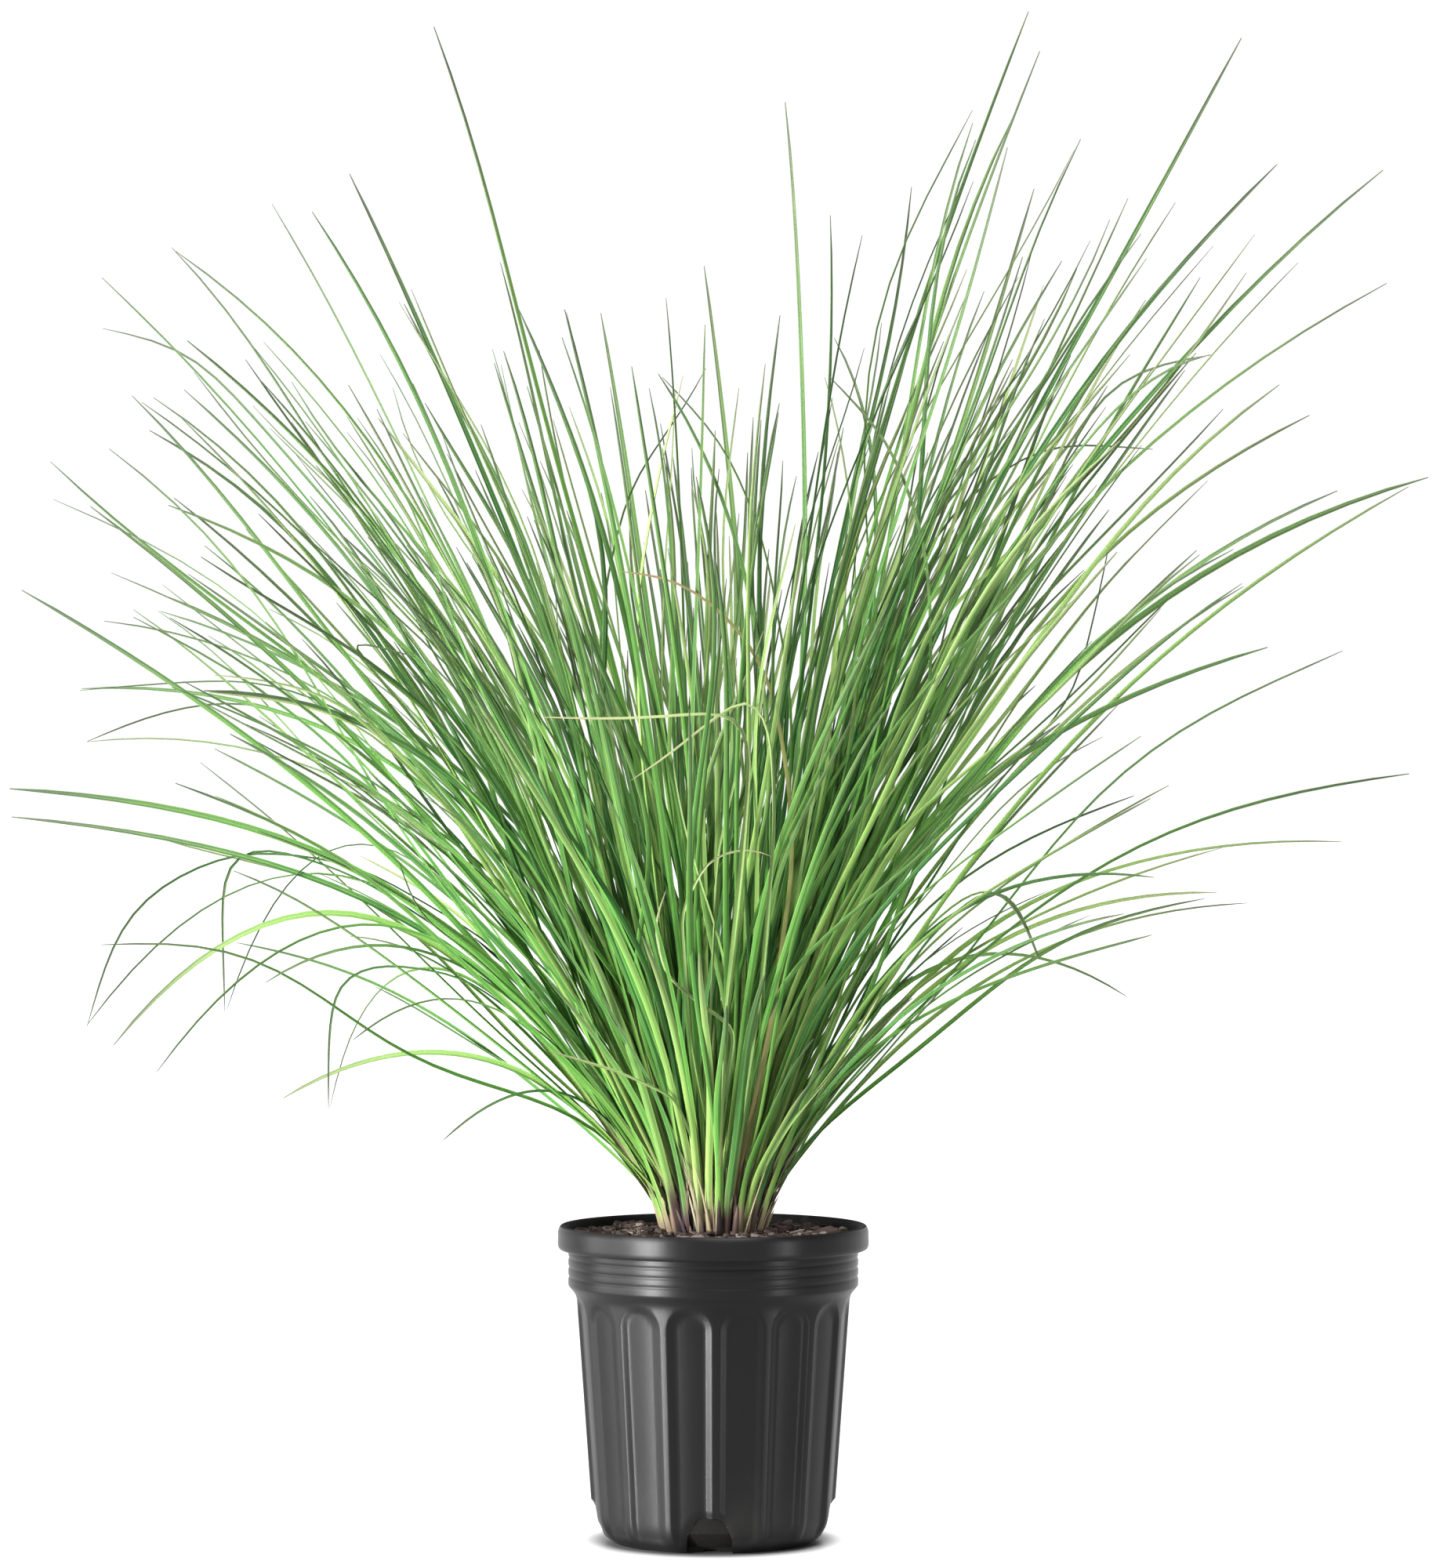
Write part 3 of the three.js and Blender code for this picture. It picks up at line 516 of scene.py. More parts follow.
mix_draws = random.Random(MIX_SEED)
mix = Gathered()
bed_line = [(0.0002, POT_FLOOR + CLEARANCE)]
for edge, up in pot_inside() + [(0.0749, 0.1535), (0.0763, SOIL_HEIGHT - 0.001)]:
    bed_line.append((edge - CLEARANCE, up + CLEARANCE))
bed_reach = bed_line[-1][0]
bed_line += [(bed_reach * share, None) for share in np.linspace(0.995, 0.012, BED_RINGS)]
bed_points = []
for reach, up in bed_line:
    for i in range(BED_COLUMNS):
        angle = 2 * math.pi * i / BED_COLUMNS
        x, y = reach * math.cos(angle), reach * math.sin(angle)
        bed_points.append((x, y, soil_top(x, y) if up is None else up))
mix.add(bed_points, ring_faces(len(bed_line), BED_COLUMNS), BED_TONE)
for count, *sizes, tilt, tones in LOOSE_PIECES:
    for _ in range(count):
        heading = mix_draws.uniform(0, 2 * math.pi)
        reach = math.sqrt(mix_draws.uniform(LOOSE_NEAREST ** 2, LOOSE_FARTHEST ** 2))
        size = [mix_draws.uniform(least, most) for least, most in sizes]
        x, y = reach * math.cos(heading), reach * math.sin(heading)
        room = bed_reach - size[0] / 2
        if reach > room:
            x, y = x * room / reach, y * room / reach
        middle = Vector((x, y, soil_top(x, y) + mix_draws.uniform(0, LOOSE_LIFT)))
        tone = mix_draws.uniform(*tones) if tones else 1
        mix.add(*chip_body(mix_draws, middle, *size, tilt), tone)
mix_mesh = mix.mesh("bark_mix")
mix_mesh.shade_smooth()
mix_mesh.set_sharp_from_angle(angle=CHIP_EDGE_ANGLE)

bark = Finish("composted_bark", Specular_IOR_Level=0.15)
fibre = bark.speckle(bark.spot((1, 0.25, 1)), 900, 4, 0.65)
patches = bark.speckle(bark.spot(), 170, 3, 0.6)
height_up, = bark.parts(bark.spot(), "Z")
flake = bark.ramp(bark.kept("tone", "Fac"), (0.05, (0.006, 0.005, 0.005)),
                  (0.35, (0.018, 0.011, 0.01)), (0.6, (0.045, 0.03, 0.027)),
                  (0.82, (0.13, 0.10, 0.092)), (0.97, (0.34, 0.28, 0.22)))
flake = bark.mix(patches.between(0.4, 0.7) * 0.5, flake, (0.04, 0.024, 0.02))
flake = bark.mix(fibre.between(0.5, 0.75) * 0.2, flake, (0.26, 0.22, 0.2))
# Painted shade: lower down in the pot the mix is darkened to near black, where it shows through the
# drain holes.
flake = bark.mix(height_up.between(0.15, 0.13), flake, (0.004, 0.0035, 0.003))
bark.surface(
    Base_Color=flake,
    Roughness=0.82 + fibre * 0.15,
    Normal=bark.relief(fibre + patches * 0.8, 0.7, 0.0006),
)
put_in_place("bark_mix", mix_mesh, bark.material, "bark_mix", "potting_mix")


# Leaves: long, narrow straps of tough green leaf, each folded along its middle. They grow in shoots
# packed side by side, so that they are built in eight bunches round the clump, root to tip.
BUNCHES = ("right", "back_right", "back", "back_left", "left", "front_left", "front", "front_right")
BUNCH_ANGLE = 2 * math.pi / len(BUNCHES)
BUNCH_LIMIT = BUNCH_ANGLE / 2 - math.radians(3)
ROOT_HEIGHT = 0.164
ROOT_NEAREST = 0.004
ROOT_SPREAD = 0.015
FOOT_DEPTH = 0.004
FOOT_INWARD = 0.86
BLADE_THICKNESS = 0.00035
BLADE_EDGE_ANGLE = math.radians(60)
LEAF_STATIONS = 26
LEAF_SEED = 20
THIN_SEED = 27
NATURE_SEED = 31

# Leaves that fill the tussock, which lean from 10 to 46 degrees and crowd a little to the left and
# right. The longest lean by 30 degrees, and none stands higher than its side of the tussock.
FILL_LEAF_COUNT = 148
FILL_CROWDING = 0.2
FILL_LEAN, FILL_LEAN_RANGE = 10, 36
GOLDEN_ANGLE = math.radians(137.508)
LONGEST = 0.590
LONGEST_LEAN = 30
SHORTER_PER_DEGREE = 0.0055
FRONT_HEIGHT = 0.43
SIDE_EXTRA_HEIGHT = 0.15

# Young leaves stand round the foot of the clump.
YOUNG_LEAF_COUNT = 32

# How wide a thin leaf and one that fills are, as a share of a leaf of the outline, and how wide a
# leaf's foot is, as a share of its full width.
THIN_SHARE = 0.85
FILL_SHARE = 0.86
FOOT_SHARE = 0.62

# Shoots of thinner leaves: the way that they lean, from the right towards the back, and how far, in
# degrees, their longest leaf, and how many leaves they have.
THIN_SHOOTS = (
    (-6, 20, 0.61, 48), (20, 25, 0.55, 26), (182, 34, 0.53, 24), (168, 21, 0.52, 36),
    (205, 20, 0.50, 26), (140, 33, 0.48, 12), (50, 33, 0.48, 12), (-45, 33, 0.47, 12),
    (-135, 33, 0.47, 10), (180, 54, 0.42, 8), (0, 50, 0.36, 8), (100, 12, 0.47, 8),
    (95, 20, 0.44, 18), (-92, 22, 0.43, 18),
)

# The leaves that stand out of the outline, in millimetres as they are seen from the front, from
# one eye level: tip x and z, x and z halfway along, how far the tip stands behind the axis, and
# width.
EYE_LEVEL = 0.4
OUTLINE_LEAVES = (
    # Upper right.
    (167, 810, 66, 490, 45, 4.4), (173, 789, 70, 480, -40, 4.6), (156, 738, 78, 460, -110, 3.4),
    (170, 716, 85, 455, 120, 3.4), (105, 717, 60, 450, 160, 3.2), (80, 695, 31, 430, -190, 3.4),
    (89, 645, 52, 410, 180, 3.2), (164, 680, 85, 440, -140, 4.6), (169, 684, 92, 430, 60, 3.4),
    (175, 665, 95, 430, 170, 3.2), (219, 710, 97, 445, 90, 3.2), (246, 710, 115, 460, -95, 3),
    (280, 796, 118, 480, 30, 4.4), (299, 729, 125, 490, -80, 3.8), (355, 726, 132, 480, 20, 4.8),
    (258, 669, 130, 430, 150, 3.4), (263, 628, 138, 495, -150, 3.2), (357, 666, 130, 465, -50, 4),
    (250, 620, 115, 410, 190, 3), (316, 596, 135, 435, 70, 3.8), (379, 563, 150, 425, 10, 4.4),
    (331, 556, 145, 410, -100, 4), (310, 677, 140, 460, 110, 2.8), (294, 473, 105, 365, -70, 4.6),
    (283, 506, 120, 370, 120, 3.2), (276, 525, 115, 380, -140, 3.2),
    # Lower right.
    (369, 406, 160, 328, -25, 4.4), (333, 370, 150, 325, 60, 3.8), (232, 393, 100, 300, -130, 3.4),
    (234, 351, 110, 315, -60, 3.2), (267, 343, 125, 300, 40, 3.2), (285, 337, 135, 290, 120, 3),
    (217, 332, 100, 280, -90, 3.2), (219, 288, 110, 298, 30, 3), (172, 309, 115, 330, -50, 2.8),
    (214, 442, 95, 300, 150, 3.2), (126, 297, 70, 235, -40, 3.2),
    # Middle.
    (38, 762, 50, 462, 38, 4.2), (62, 702, 45, 440, -60, 3.2), (-25, 658, -10, 410, -160, 3.2),
    (-5, 675, 17, 420, 190, 3.6), (-60, 651, -22, 410, 170, 3.8), (-4, 644, -10, 405, -220, 4),
    (-29, 618, 28, 430, -150, 3.8), (21, 595, 18, 390, 230, 3.2), (37, 572, 28, 380, -250, 3.2),
    (59, 616, 70, 420, 60, 3), (64, 637, 85, 450, 85, 3), (94, 614, 45, 400, -80, 3.6),
    (69, 590, 40, 385, 200, 3.6),
    # Upper left.
    (-148, 802, -60, 490, -35, 4.6), (-193, 724, -85, 465, 70, 4), (-212, 703, -92, 450, -90, 3.4),
    (-234, 708, -110, 460, 120, 2.8), (-287, 685, -125, 455, -40, 4),
    (-285, 683, -115, 480, 80, 3.6), (-324, 669, -135, 440, 30, 4),
    (-278, 635, -115, 440, -120, 4.6), (-280, 609, -125, 420, 110, 3.2),
    (-303, 603, -130, 430, -70, 2.8), (-299, 588, -135, 425, 60, 3.6),
    (-290, 549, -120, 415, -110, 4.2), (-235, 589, -100, 410, 160, 3.2),
    (-160, 663, -75, 430, -130, 3), (-164, 655, -70, 420, 110, 3.4),
    (-159, 613, -80, 400, -190, 3.8), (-113, 677, -52, 425, 150, 3.4),
    (-111, 630, -48, 400, -170, 3.4), (-103, 652, -35, 430, -60, 3.6),
    # Lower left.
    (-290, 500, -125, 380, 100, 3.6), (-323, 487, -130, 395, -50, 3.6),
    (-293, 492, -110, 380, 150, 3.2), (-335, 451, -145, 390, 70, 3),
    (-332, 423, -150, 375, 120, 2.8), (-287, 452, -120, 345, -130, 4),
    (-270, 450, -115, 375, -90, 4.6), (-256, 427, -115, 320, -40, 4.6),
    (-272, 412, -115, 275, 90, 3.2), (-285, 401, -120, 300, -150, 3.6),
    (-373, 398, -165, 333, -10, 4.6), (-372, 383, -150, 318, 40, 4), (-332, 273, -180, 345, 60, 3),
    (-258, 281, -165, 360, 30, 2.6), (-318, 262, -175, 325, -20, 4),
    (-295, 248, -160, 320, -60, 3), (-238, 295, -125, 300, -90, 3),
    (-228, 234, -115, 254, 20, 3.6), (-191, 265, -105, 275, -70, 3.8),
    (-179, 293, -90, 240, 50, 3.2), (-204, 229, -140, 300, 90, 2.4),
    (-143, 212, -75, 235, -45, 3.6), (-193, 320, -110, 280, 110, 3),
)


# The row of draws that the solid leaves are placed by: each number makes the next one.
DRAW_FACTOR = 1664525
DRAW_STEP = 1013904223
DRAW_RANGE = 2 ** 32


def draws_from(seed):
    """The same repeatable row of draws as the solid leaves have."""
    state = seed

    def draw(low, high):
        nonlocal state
        state = (state * DRAW_FACTOR + DRAW_STEP) % DRAW_RANGE
        return low + (high - low) * state / DRAW_RANGE

    return draw


def bunch_at(angle):
    return (math.floor(angle / BUNCH_ANGLE + 0.5) + len(BUNCHES)) % len(BUNCHES)


def angle_from(centre, angle):
    """How far an angle is from another, by the shorter way round."""
    return math.atan2(math.sin(angle - centre), math.cos(angle - centre))


def clamp(value, limit):
    return max(-limit, min(limit, value))


def depth_in_bunch(x, depth, bunch):
    """A depth behind the axis, moved where needed so that the point stays in the bunch's slice."""
    centre = bunch * BUNCH_ANGLE
    offset = angle_from(centre, math.atan2(depth, x))
    if abs(offset) <= BUNCH_LIMIT:
        return depth
    return x * math.tan(centre + math.copysign(BUNCH_LIMIT, offset))


def point_at(turn, reach, up):
    return np.array([reach * math.cos(turn), reach * math.sin(turn), up])


def root_reach(lean, draw):
    """How far from the axis a leaf is rooted: the more it leans, the farther out."""
    return ROOT_NEAREST + ROOT_SPREAD * min(lean / 60, 1) + draw(0, 0.004)


def leaf_of(bunch, root, middle, tip, width, twist, turn, kind):
    return {"bunch": bunch, "root": root, "middle": middle, "tip": tip, "width": width,
            "twist": twist, "turn": turn, "kind": kind}


def outline_leaf(values, draw):
    """A leaf of the outline, set farther out and up the deeper it stands, as perspective asks."""
    tip_x, tip_z, middle_x, middle_z, depth, width = (value / 1000 for value in values)
    bunch = bunch_at(math.atan2(depth, tip_x))
    spread = 1 + depth / VIEW_DISTANCE
    tip = np.array([tip_x * spread, depth_in_bunch(tip_x * spread, depth, bunch),
                    EYE_LEVEL + (tip_z - EYE_LEVEL) * spread])
    spread = 1 + depth / 2 / VIEW_DISTANCE
    middle_y = depth_in_bunch(middle_x * spread, depth * 0.42, bunch)
    middle = np.array([middle_x * spread, middle_y, EYE_LEVEL + (middle_z - EYE_LEVEL) * spread])
    lean = math.degrees(math.atan2(math.hypot(tip[0], tip[1]), tip[2] - ROOT_HEIGHT))
    root = point_at(math.atan2(middle_y, middle_x), root_reach(lean, draw), ROOT_HEIGHT)
    return leaf_of(bunch, root, middle, tip, width, draw(-1.2, 1.2), draw(-0.7, 0.7), "outline")


def bowed(bunch, centre, offset, drift, lean, length, draw):
    """A leaf that leaves its root steeply and bows over to lean by so many degrees at its tip."""
    slope = math.radians(lean)
    start_slope = slope * draw(0.32, 0.66)
    reach = root_reach(lean, draw)
    base = ROOT_HEIGHT + draw(-0.004, 0.008)

    def along(turn, run, bend):
        out = reach + run * math.sin(bend)
        return point_at(centre + turn, out, base + run * math.cos(bend))

    root = along(offset, 0, 0)
    tip = along(drift, length, slope)
    middle = (root + tip) * 0.25 + along(offset, length / 2, start_slope) * 0.5
    width = draw(0.003, 0.0044)
    return leaf_of(bunch, root, middle, tip, width, draw(-1.2, 1.2), draw(-0.7, 0.7), "fill")


def longest_leaf(angle, lean):
    """The longest that a leaf grows its way: the front and back of the tussock are lower."""
    longest = LONGEST - SHORTER_PER_DEGREE * abs(lean - LONGEST_LEAN)
    highest = FRONT_HEIGHT + SIDE_EXTRA_HEIGHT * abs(math.cos(angle))
    return min(longest, highest / math.cos(math.radians(lean)))


def fill_leaf(index, draw):
    step = index * GOLDEN_ANGLE
    angle = step + FILL_CROWDING * math.sin(2 * step)
    bunch = bunch_at(math.atan2(math.sin(angle), math.cos(angle)))
    centre = bunch * BUNCH_ANGLE
    offset = clamp(angle_from(centre, angle), BUNCH_LIMIT)
    lean = FILL_LEAN + FILL_LEAN_RANGE * draw(0, 1)
    length = longest_leaf(angle, lean) * draw(0.66, 1)
    drift = clamp(offset + draw(-0.14, 0.14), BUNCH_LIMIT)
    return bowed(bunch, centre, offset, drift, lean, length, draw)


def thin_leaf(shoot, draw):
    """A thinner leaf of a shoot, which may cross from over one bunch to over the next."""
    turn, lean, length = shoot
    angle = math.radians(turn) + draw(-0.4, 0.4)
    lean += draw(-9, 9)
    length *= draw(0.62, 1)
    drift = draw(-0.25, 0.25) + draw(-0.2, 0.2)
    halfway = angle + drift / 2
    bunch = bunch_at(math.atan2(math.sin(halfway), math.cos(halfway)))
    thin = bowed(bunch, angle, 0, drift, lean, length, draw)
    thin["width"] *= THIN_SHARE
    thin["kind"] = "thin"
    return thin


def young_leaf(index, draw):
    """A short leaf at the edge of the clump. Each bunch has as many, evenly apart."""
    per_bunch = YOUNG_LEAF_COUNT // len(BUNCHES)
    bunch = index // per_bunch
    offset = BUNCH_LIMIT * ((index % per_bunch + 0.5) * (2 / per_bunch) - 1)
    angle = bunch * BUNCH_ANGLE + offset + draw(-0.03, 0.03)
    length = draw(0.09, 0.21)
    root = point_at(angle, CLUMP_RADIUS - 0.001, SOIL_HEIGHT + 0.002)
    middle = point_at(angle, CLUMP_RADIUS + length * 0.17, SOIL_HEIGHT + length * 0.45)
    out = CLUMP_RADIUS + length * draw(0.42, 0.6)
    tip = point_at(angle, out, SOIL_HEIGHT + length * draw(0.8, 0.9))
    width = draw(0.004, 0.005)
    return leaf_of(bunch, root, middle, tip, width, draw(-0.3, 0.3), draw(-0.4, 0.4), "young")


# How much a leaf sways out of its bow, as a share of its length.
SWAY = {"outline": 0.022, "fill": 0.042, "young": 0.02, "thin": 0.07}


def line_of(leaf, draws):
    """A leaf's middle line: the solid's bow with a slight sway, its foot run down into the mix."""
    root, middle, tip = leaf["root"], leaf["middle"], leaf["tip"]
    share = np.linspace(0, 1, LEAF_STATIONS)[:, None]
    control = 2 * middle - (root + tip) / 2
    line = (1 - share) ** 2 * root + 2 * share * (1 - share) * control + share ** 2 * tip
    length = np.linalg.norm(tip - root)
    sideways = np.array([-tip[1], tip[0], 0]) / max(math.hypot(tip[0], tip[1]), 1e-6)
    outward = np.cross((tip - root) / length, sideways)
    most = SWAY[leaf["kind"]] * length
    for way in (sideways, outward):
        swing = draws.uniform(-most, most)
        turns = draws.uniform(0.7, 2.5)
        wave = np.sin(share * turns * math.pi + draws.uniform(0, math.pi))
        line = line + way * (swing * wave * share * (1 - share) * 3)
    if leaf["kind"] == "young":
        return line
    foot = np.array([root[0] * FOOT_INWARD, root[1] * FOOT_INWARD, SOIL_HEIGHT - FOOT_DEPTH])
    return np.concatenate([[foot], line])


class Blades:
    """Leaf blades in one mesh. Each point keeps where on its leaf it is, and its leaf's nature."""

    # Round a blade's section: how far across, how far down the fold, and whether on the underside.
    SECTION = np.array([(-1, 0, 0), (-0.52, -0.62, 0), (0, -1, 0), (0.52, -0.62, 0), (1, 0, 0),
                        (0.5, -0.62, 1), (0, -1, 1), (-0.5, -0.62, 1)])
    # On the mesh's map, how wide the strip of one face is, of a blade's width of 1, and the gap
    # between the strips of the upper and the under side.
    STRIP = 0.115
    STRIP_GAP = 0.04

    def __init__(self):
        self.points, self.spots, self.natures = [], [], []

    def add(self, line, widths, fold, thickness, sideways, angles, nature):
        """One blade along a line, with its width, fold and turn about the line at each point."""
        count, ring = len(line), len(self.SECTION)
        across, down, under = self.SECTION.T[:, None, :, None]
        along = np.gradient(line, axis=0)
        along /= np.linalg.norm(along, axis=1, keepdims=True)
        side = sideways - along * (along @ sideways)[:, None]
        side /= np.linalg.norm(side, axis=1, keepdims=True)
        back = np.cross(along, side)
        cosines, sines = np.cos(angles)[:, None], np.sin(angles)[:, None]
        side, back = side * cosines + back * sines, back * cosines - side * sines
        half = widths[:, None, None] / 2
        fall = down * (half * fold[:, None, None]) - under * np.minimum(thickness, half * 0.8)
        self.points.append(line[:, None] + side[:, None] * half * across + back[:, None] * fall)
        share = np.repeat(np.linspace(0, 1, count)[:, None], ring, 1)
        round_it = np.repeat(self.SECTION[None], count, 0)
        self.spots.append(np.stack([share, round_it[..., 0], round_it[..., 2]], -1))
        self.natures.append(np.repeat([nature], count * ring, 0))

    def mesh(self, name):
        """The mesh. On its map, each blade's upper and under side are two strips side by side."""
        ring = len(self.SECTION)
        faces, ends, places, end_places = [], [], [], []
        start = 0
        for number, blade in enumerate(self.points):
            count = len(blade)
            row, column = np.meshgrid(np.arange(count - 1), np.arange(ring), indexing="ij")
            nearby = (column + 1) % ring
            faces.append(np.stack([row * ring + column, (row + 1) * ring + column,
                                   (row + 1) * ring + nearby, row * ring + nearby], -1) + start)
            left = number + column * self.STRIP + (column >= ring / 2) * self.STRIP_GAP
            near, far = row / (count - 1), (row + 1) / (count - 1)
            corners = [(left, near), (left, far),
                       (left + self.STRIP, far), (left + self.STRIP, near)]
            places.append(np.stack([np.stack(corner, -1) for corner in corners], -2))
            last = start + (count - 1) * ring
            ends += [list(range(start, start + ring)), list(range(last, last + ring))[::-1]]
            end_places += [(number + 0.2, 0)] * ring + [(number + 0.2, 1)] * ring
            start += count * ring
        made = bpy.data.meshes.new(name)
        points = np.concatenate([blade.reshape(-1, 3) for blade in self.points])
        quads = np.concatenate([quad.reshape(-1, 4) for quad in faces])
        made.from_pydata(points.tolist(), [], quads.tolist() + ends)
        flat = np.concatenate([place.reshape(-1, 2) for place in places] + [np.array(end_places)])
        flat[:, 0] /= len(self.points)
        uv_map = made.uv_layers.new(name="OFBake")
        uv_map.data.foreach_set("uv", flat.astype(np.float32).ravel())
        for title, values in (("leaf_spot", self.spots), ("leaf_nature", self.natures)):
            kept = made.attributes.new(title, "FLOAT_VECTOR", "POINT")
            whole = np.concatenate([value.reshape(-1, 3) for value in values])
            kept.data.foreach_set("vector", whole.astype(np.float32).ravel())
        made.shade_smooth()
        made.set_sharp_from_angle(angle=BLADE_EDGE_ANGLE)
        return made


def leaf_widths(count, width, foot):
    """Width along a leaf: its foot's share at the root, full at its middle, then ever narrower."""
    share = np.linspace(0, 1, count)
    profile = np.interp(share, [0, 0.06, 0.25, 0.45, 0.65, 0.85, 0.96, 1],
                        [foot, foot, 0.9, 0.97, 0.87, 0.7, 0.44, 0.12])
    return width * profile


leaf_draw = draws_from(LEAF_SEED)
leaves = [outline_leaf(values, leaf_draw) for values in OUTLINE_LEAVES]
leaves += [fill_leaf(i, leaf_draw) for i in range(FILL_LEAF_COUNT)]
leaves += [young_leaf(i, leaf_draw) for i in range(YOUNG_LEAF_COUNT)]
thin_draw = draws_from(THIN_SEED)
for *shoot, count in THIN_SHOOTS:
    leaves += [thin_leaf(shoot, thin_draw) for _ in range(count)]

# A leaf's nature is three numbers: how deep its green is, which also carries painted shade, how
# worn its ends are, and how yellow it is.
green = Finish("mat_rush_leaf", Specular_IOR_Level=0.14)
place, across, under = green.parts(green.kept("leaf_spot"))
depth, age, yellowness = green.parts(green.kept("leaf_nature"))
mottle = green.speckle(green.joined(across * 0.9, place * 14, depth * 50), 1.3, 3, 0.55)
veins = green.speckle(green.joined(across * 9, place * 3, depth * 40), 1.6, 2)
worn = place + (mottle - 0.5) * 0.16
plain = green.ramp(
    worn, (0.0, (0.20, 0.16, 0.085)), (0.07, (0.21, 0.25, 0.09)), (0.16, (0.13, 0.24, 0.045)),
    (0.34, (0.062, 0.205, 0.028)), (0.62, (0.068, 0.18, 0.032)), (0.84, (0.058, 0.108, 0.036)),
    (1.0, (0.036, 0.044, 0.032)))
yellow = green.ramp(
    worn, (0.0, (0.30, 0.25, 0.14)), (0.08, (0.35, 0.37, 0.17)), (0.2, (0.26, 0.38, 0.10)),
    (0.5, (0.20, 0.34, 0.08)), (0.78, (0.19, 0.27, 0.09)), (1.0, (0.14, 0.14, 0.085)))
deep = green.ramp(
    worn, (0.0, (0.07, 0.045, 0.035)), (0.09, (0.07, 0.10, 0.04)), (0.2, (0.024, 0.105, 0.02)),
    (0.5, (0.014, 0.09, 0.018)), (0.78, (0.024, 0.068, 0.02)), (1.0, (0.03, 0.031, 0.027)))
blade = green.mix(depth.between(0.5, 0.95), plain, deep)
blade = green.mix(yellowness.between(0.42, 0.95), blade, yellow)
blade = green.mix(mottle.between(0.5, 0.8) * 0.3, blade, (0.16, 0.26, 0.06))
midrib = 1 - abs(across).between(0.04, 0.22)
blade = green.mix(midrib * 0.3, blade, (0.25, 0.4, 0.09))
blade = green.mix(abs(across).between(0.82, 0.98) * 0.3, blade, (0.33, 0.43, 0.14))
blade = green.mix(veins.between(0.45, 0.7) * 0.25, blade, (0.015, 0.06, 0.01))
# Painted shade: the underside of every blade is darkened.
blade = green.mix(under * 0.45, blade, (0.02, 0.065, 0.014))
tip_share = place.between(1.04 - age * 0.3, 1.04)
blade = green.mix(tip_share * 0.75, blade, (0.032, 0.044, 0.026))
foot_brown = green.mix(depth, (0.24, 0.19, 0.11), (0.05, 0.03, 0.028))
foot_share = 1 - place.between(0.04 + age * 0.055, 0.095 + age * 0.1)
blade = green.mix(foot_share * mottle.between(0.15, 0.42), blade, foot_brown)
green.surface(
    Base_Color=blade,
    Roughness=0.45 + mottle * 0.16 + under * 0.1,
    Normal=green.relief(mottle, 0.2, 0.0002),
)

# Leaves inside the tussock are painted a deeper green as shade, and the tallest of the outline
# deeper still, also painted shade. Those on the right are yellower. How far out the painted shade
# inside and the right end reach, and where a tip begins to count as tall.
PAINTED_SHADE_REACH = 0.2
RIGHT_REACH = 0.4
TALL_FROM, TALL_RANGE = 0.5, 0.2
nature_draws = random.Random(NATURE_SEED)
for bunch, title in enumerate(BUNCHES):
    blades = Blades()
    for leaf in leaves:
        if leaf["bunch"] != bunch:
            continue
        kind, tip = leaf["kind"], leaf["tip"]
        line = line_of(leaf, nature_draws)
        share = np.linspace(0, 1, len(line))
        sideways = np.array([-tip[1], tip[0], 0.0])
        sideways /= np.linalg.norm(sideways)
        fold = np.interp(share, [0, 0.25, 0.7, 1], [0.8, 0.45, 0.3, 0.5])
        fold = fold * nature_draws.uniform(0.7, 1.4)
        rightness = tip[0] / RIGHT_REACH
        # Painted shade: a deeper green for leaves near the axis and for the tallest leaves of the
        # outline.
        inside = 1 - min(math.hypot(*tip[:2]) / PAINTED_SHADE_REACH, 1)
        tall = float(np.clip((tip[2] - TALL_FROM) / TALL_RANGE, 0, 1))
        tall_painted_shade = tall if kind == "outline" else 0
        deepness_and_painted_shade = nature_draws.random() + 0.35 * inside + 0.4 * tall_painted_shade
        oldness = nature_draws.random() ** 1.4
        gold = nature_draws.random() ** 1.5 * (1 + 0.35 * rightness) * (1 - 0.25 * tall_painted_shade)
        width = leaf["width"] * (FILL_SHARE if kind == "fill" else 1)
        widths = leaf_widths(len(line), width, 1 if kind == "young" else FOOT_SHARE)
        blades.add(line, widths, fold, BLADE_THICKNESS, sideways,
                   leaf["twist"] + leaf["turn"] * share, (min(deepness_and_painted_shade, 1), oldness, min(gold, 1)))
    put_in_place(f"leaves_{title}", blades.mesh(f"leaves_{title}"), green.material, "green_leaf",
                 f"leaf_bunch_{title}")


# Stray leaves: leaves that cross the others, are bent or broken, or hang their thin tips down. Dead
# ones are pale and curled. Each grows from the clump, and stands or lies among the leaves round it.
STRAY_STATIONS = 44

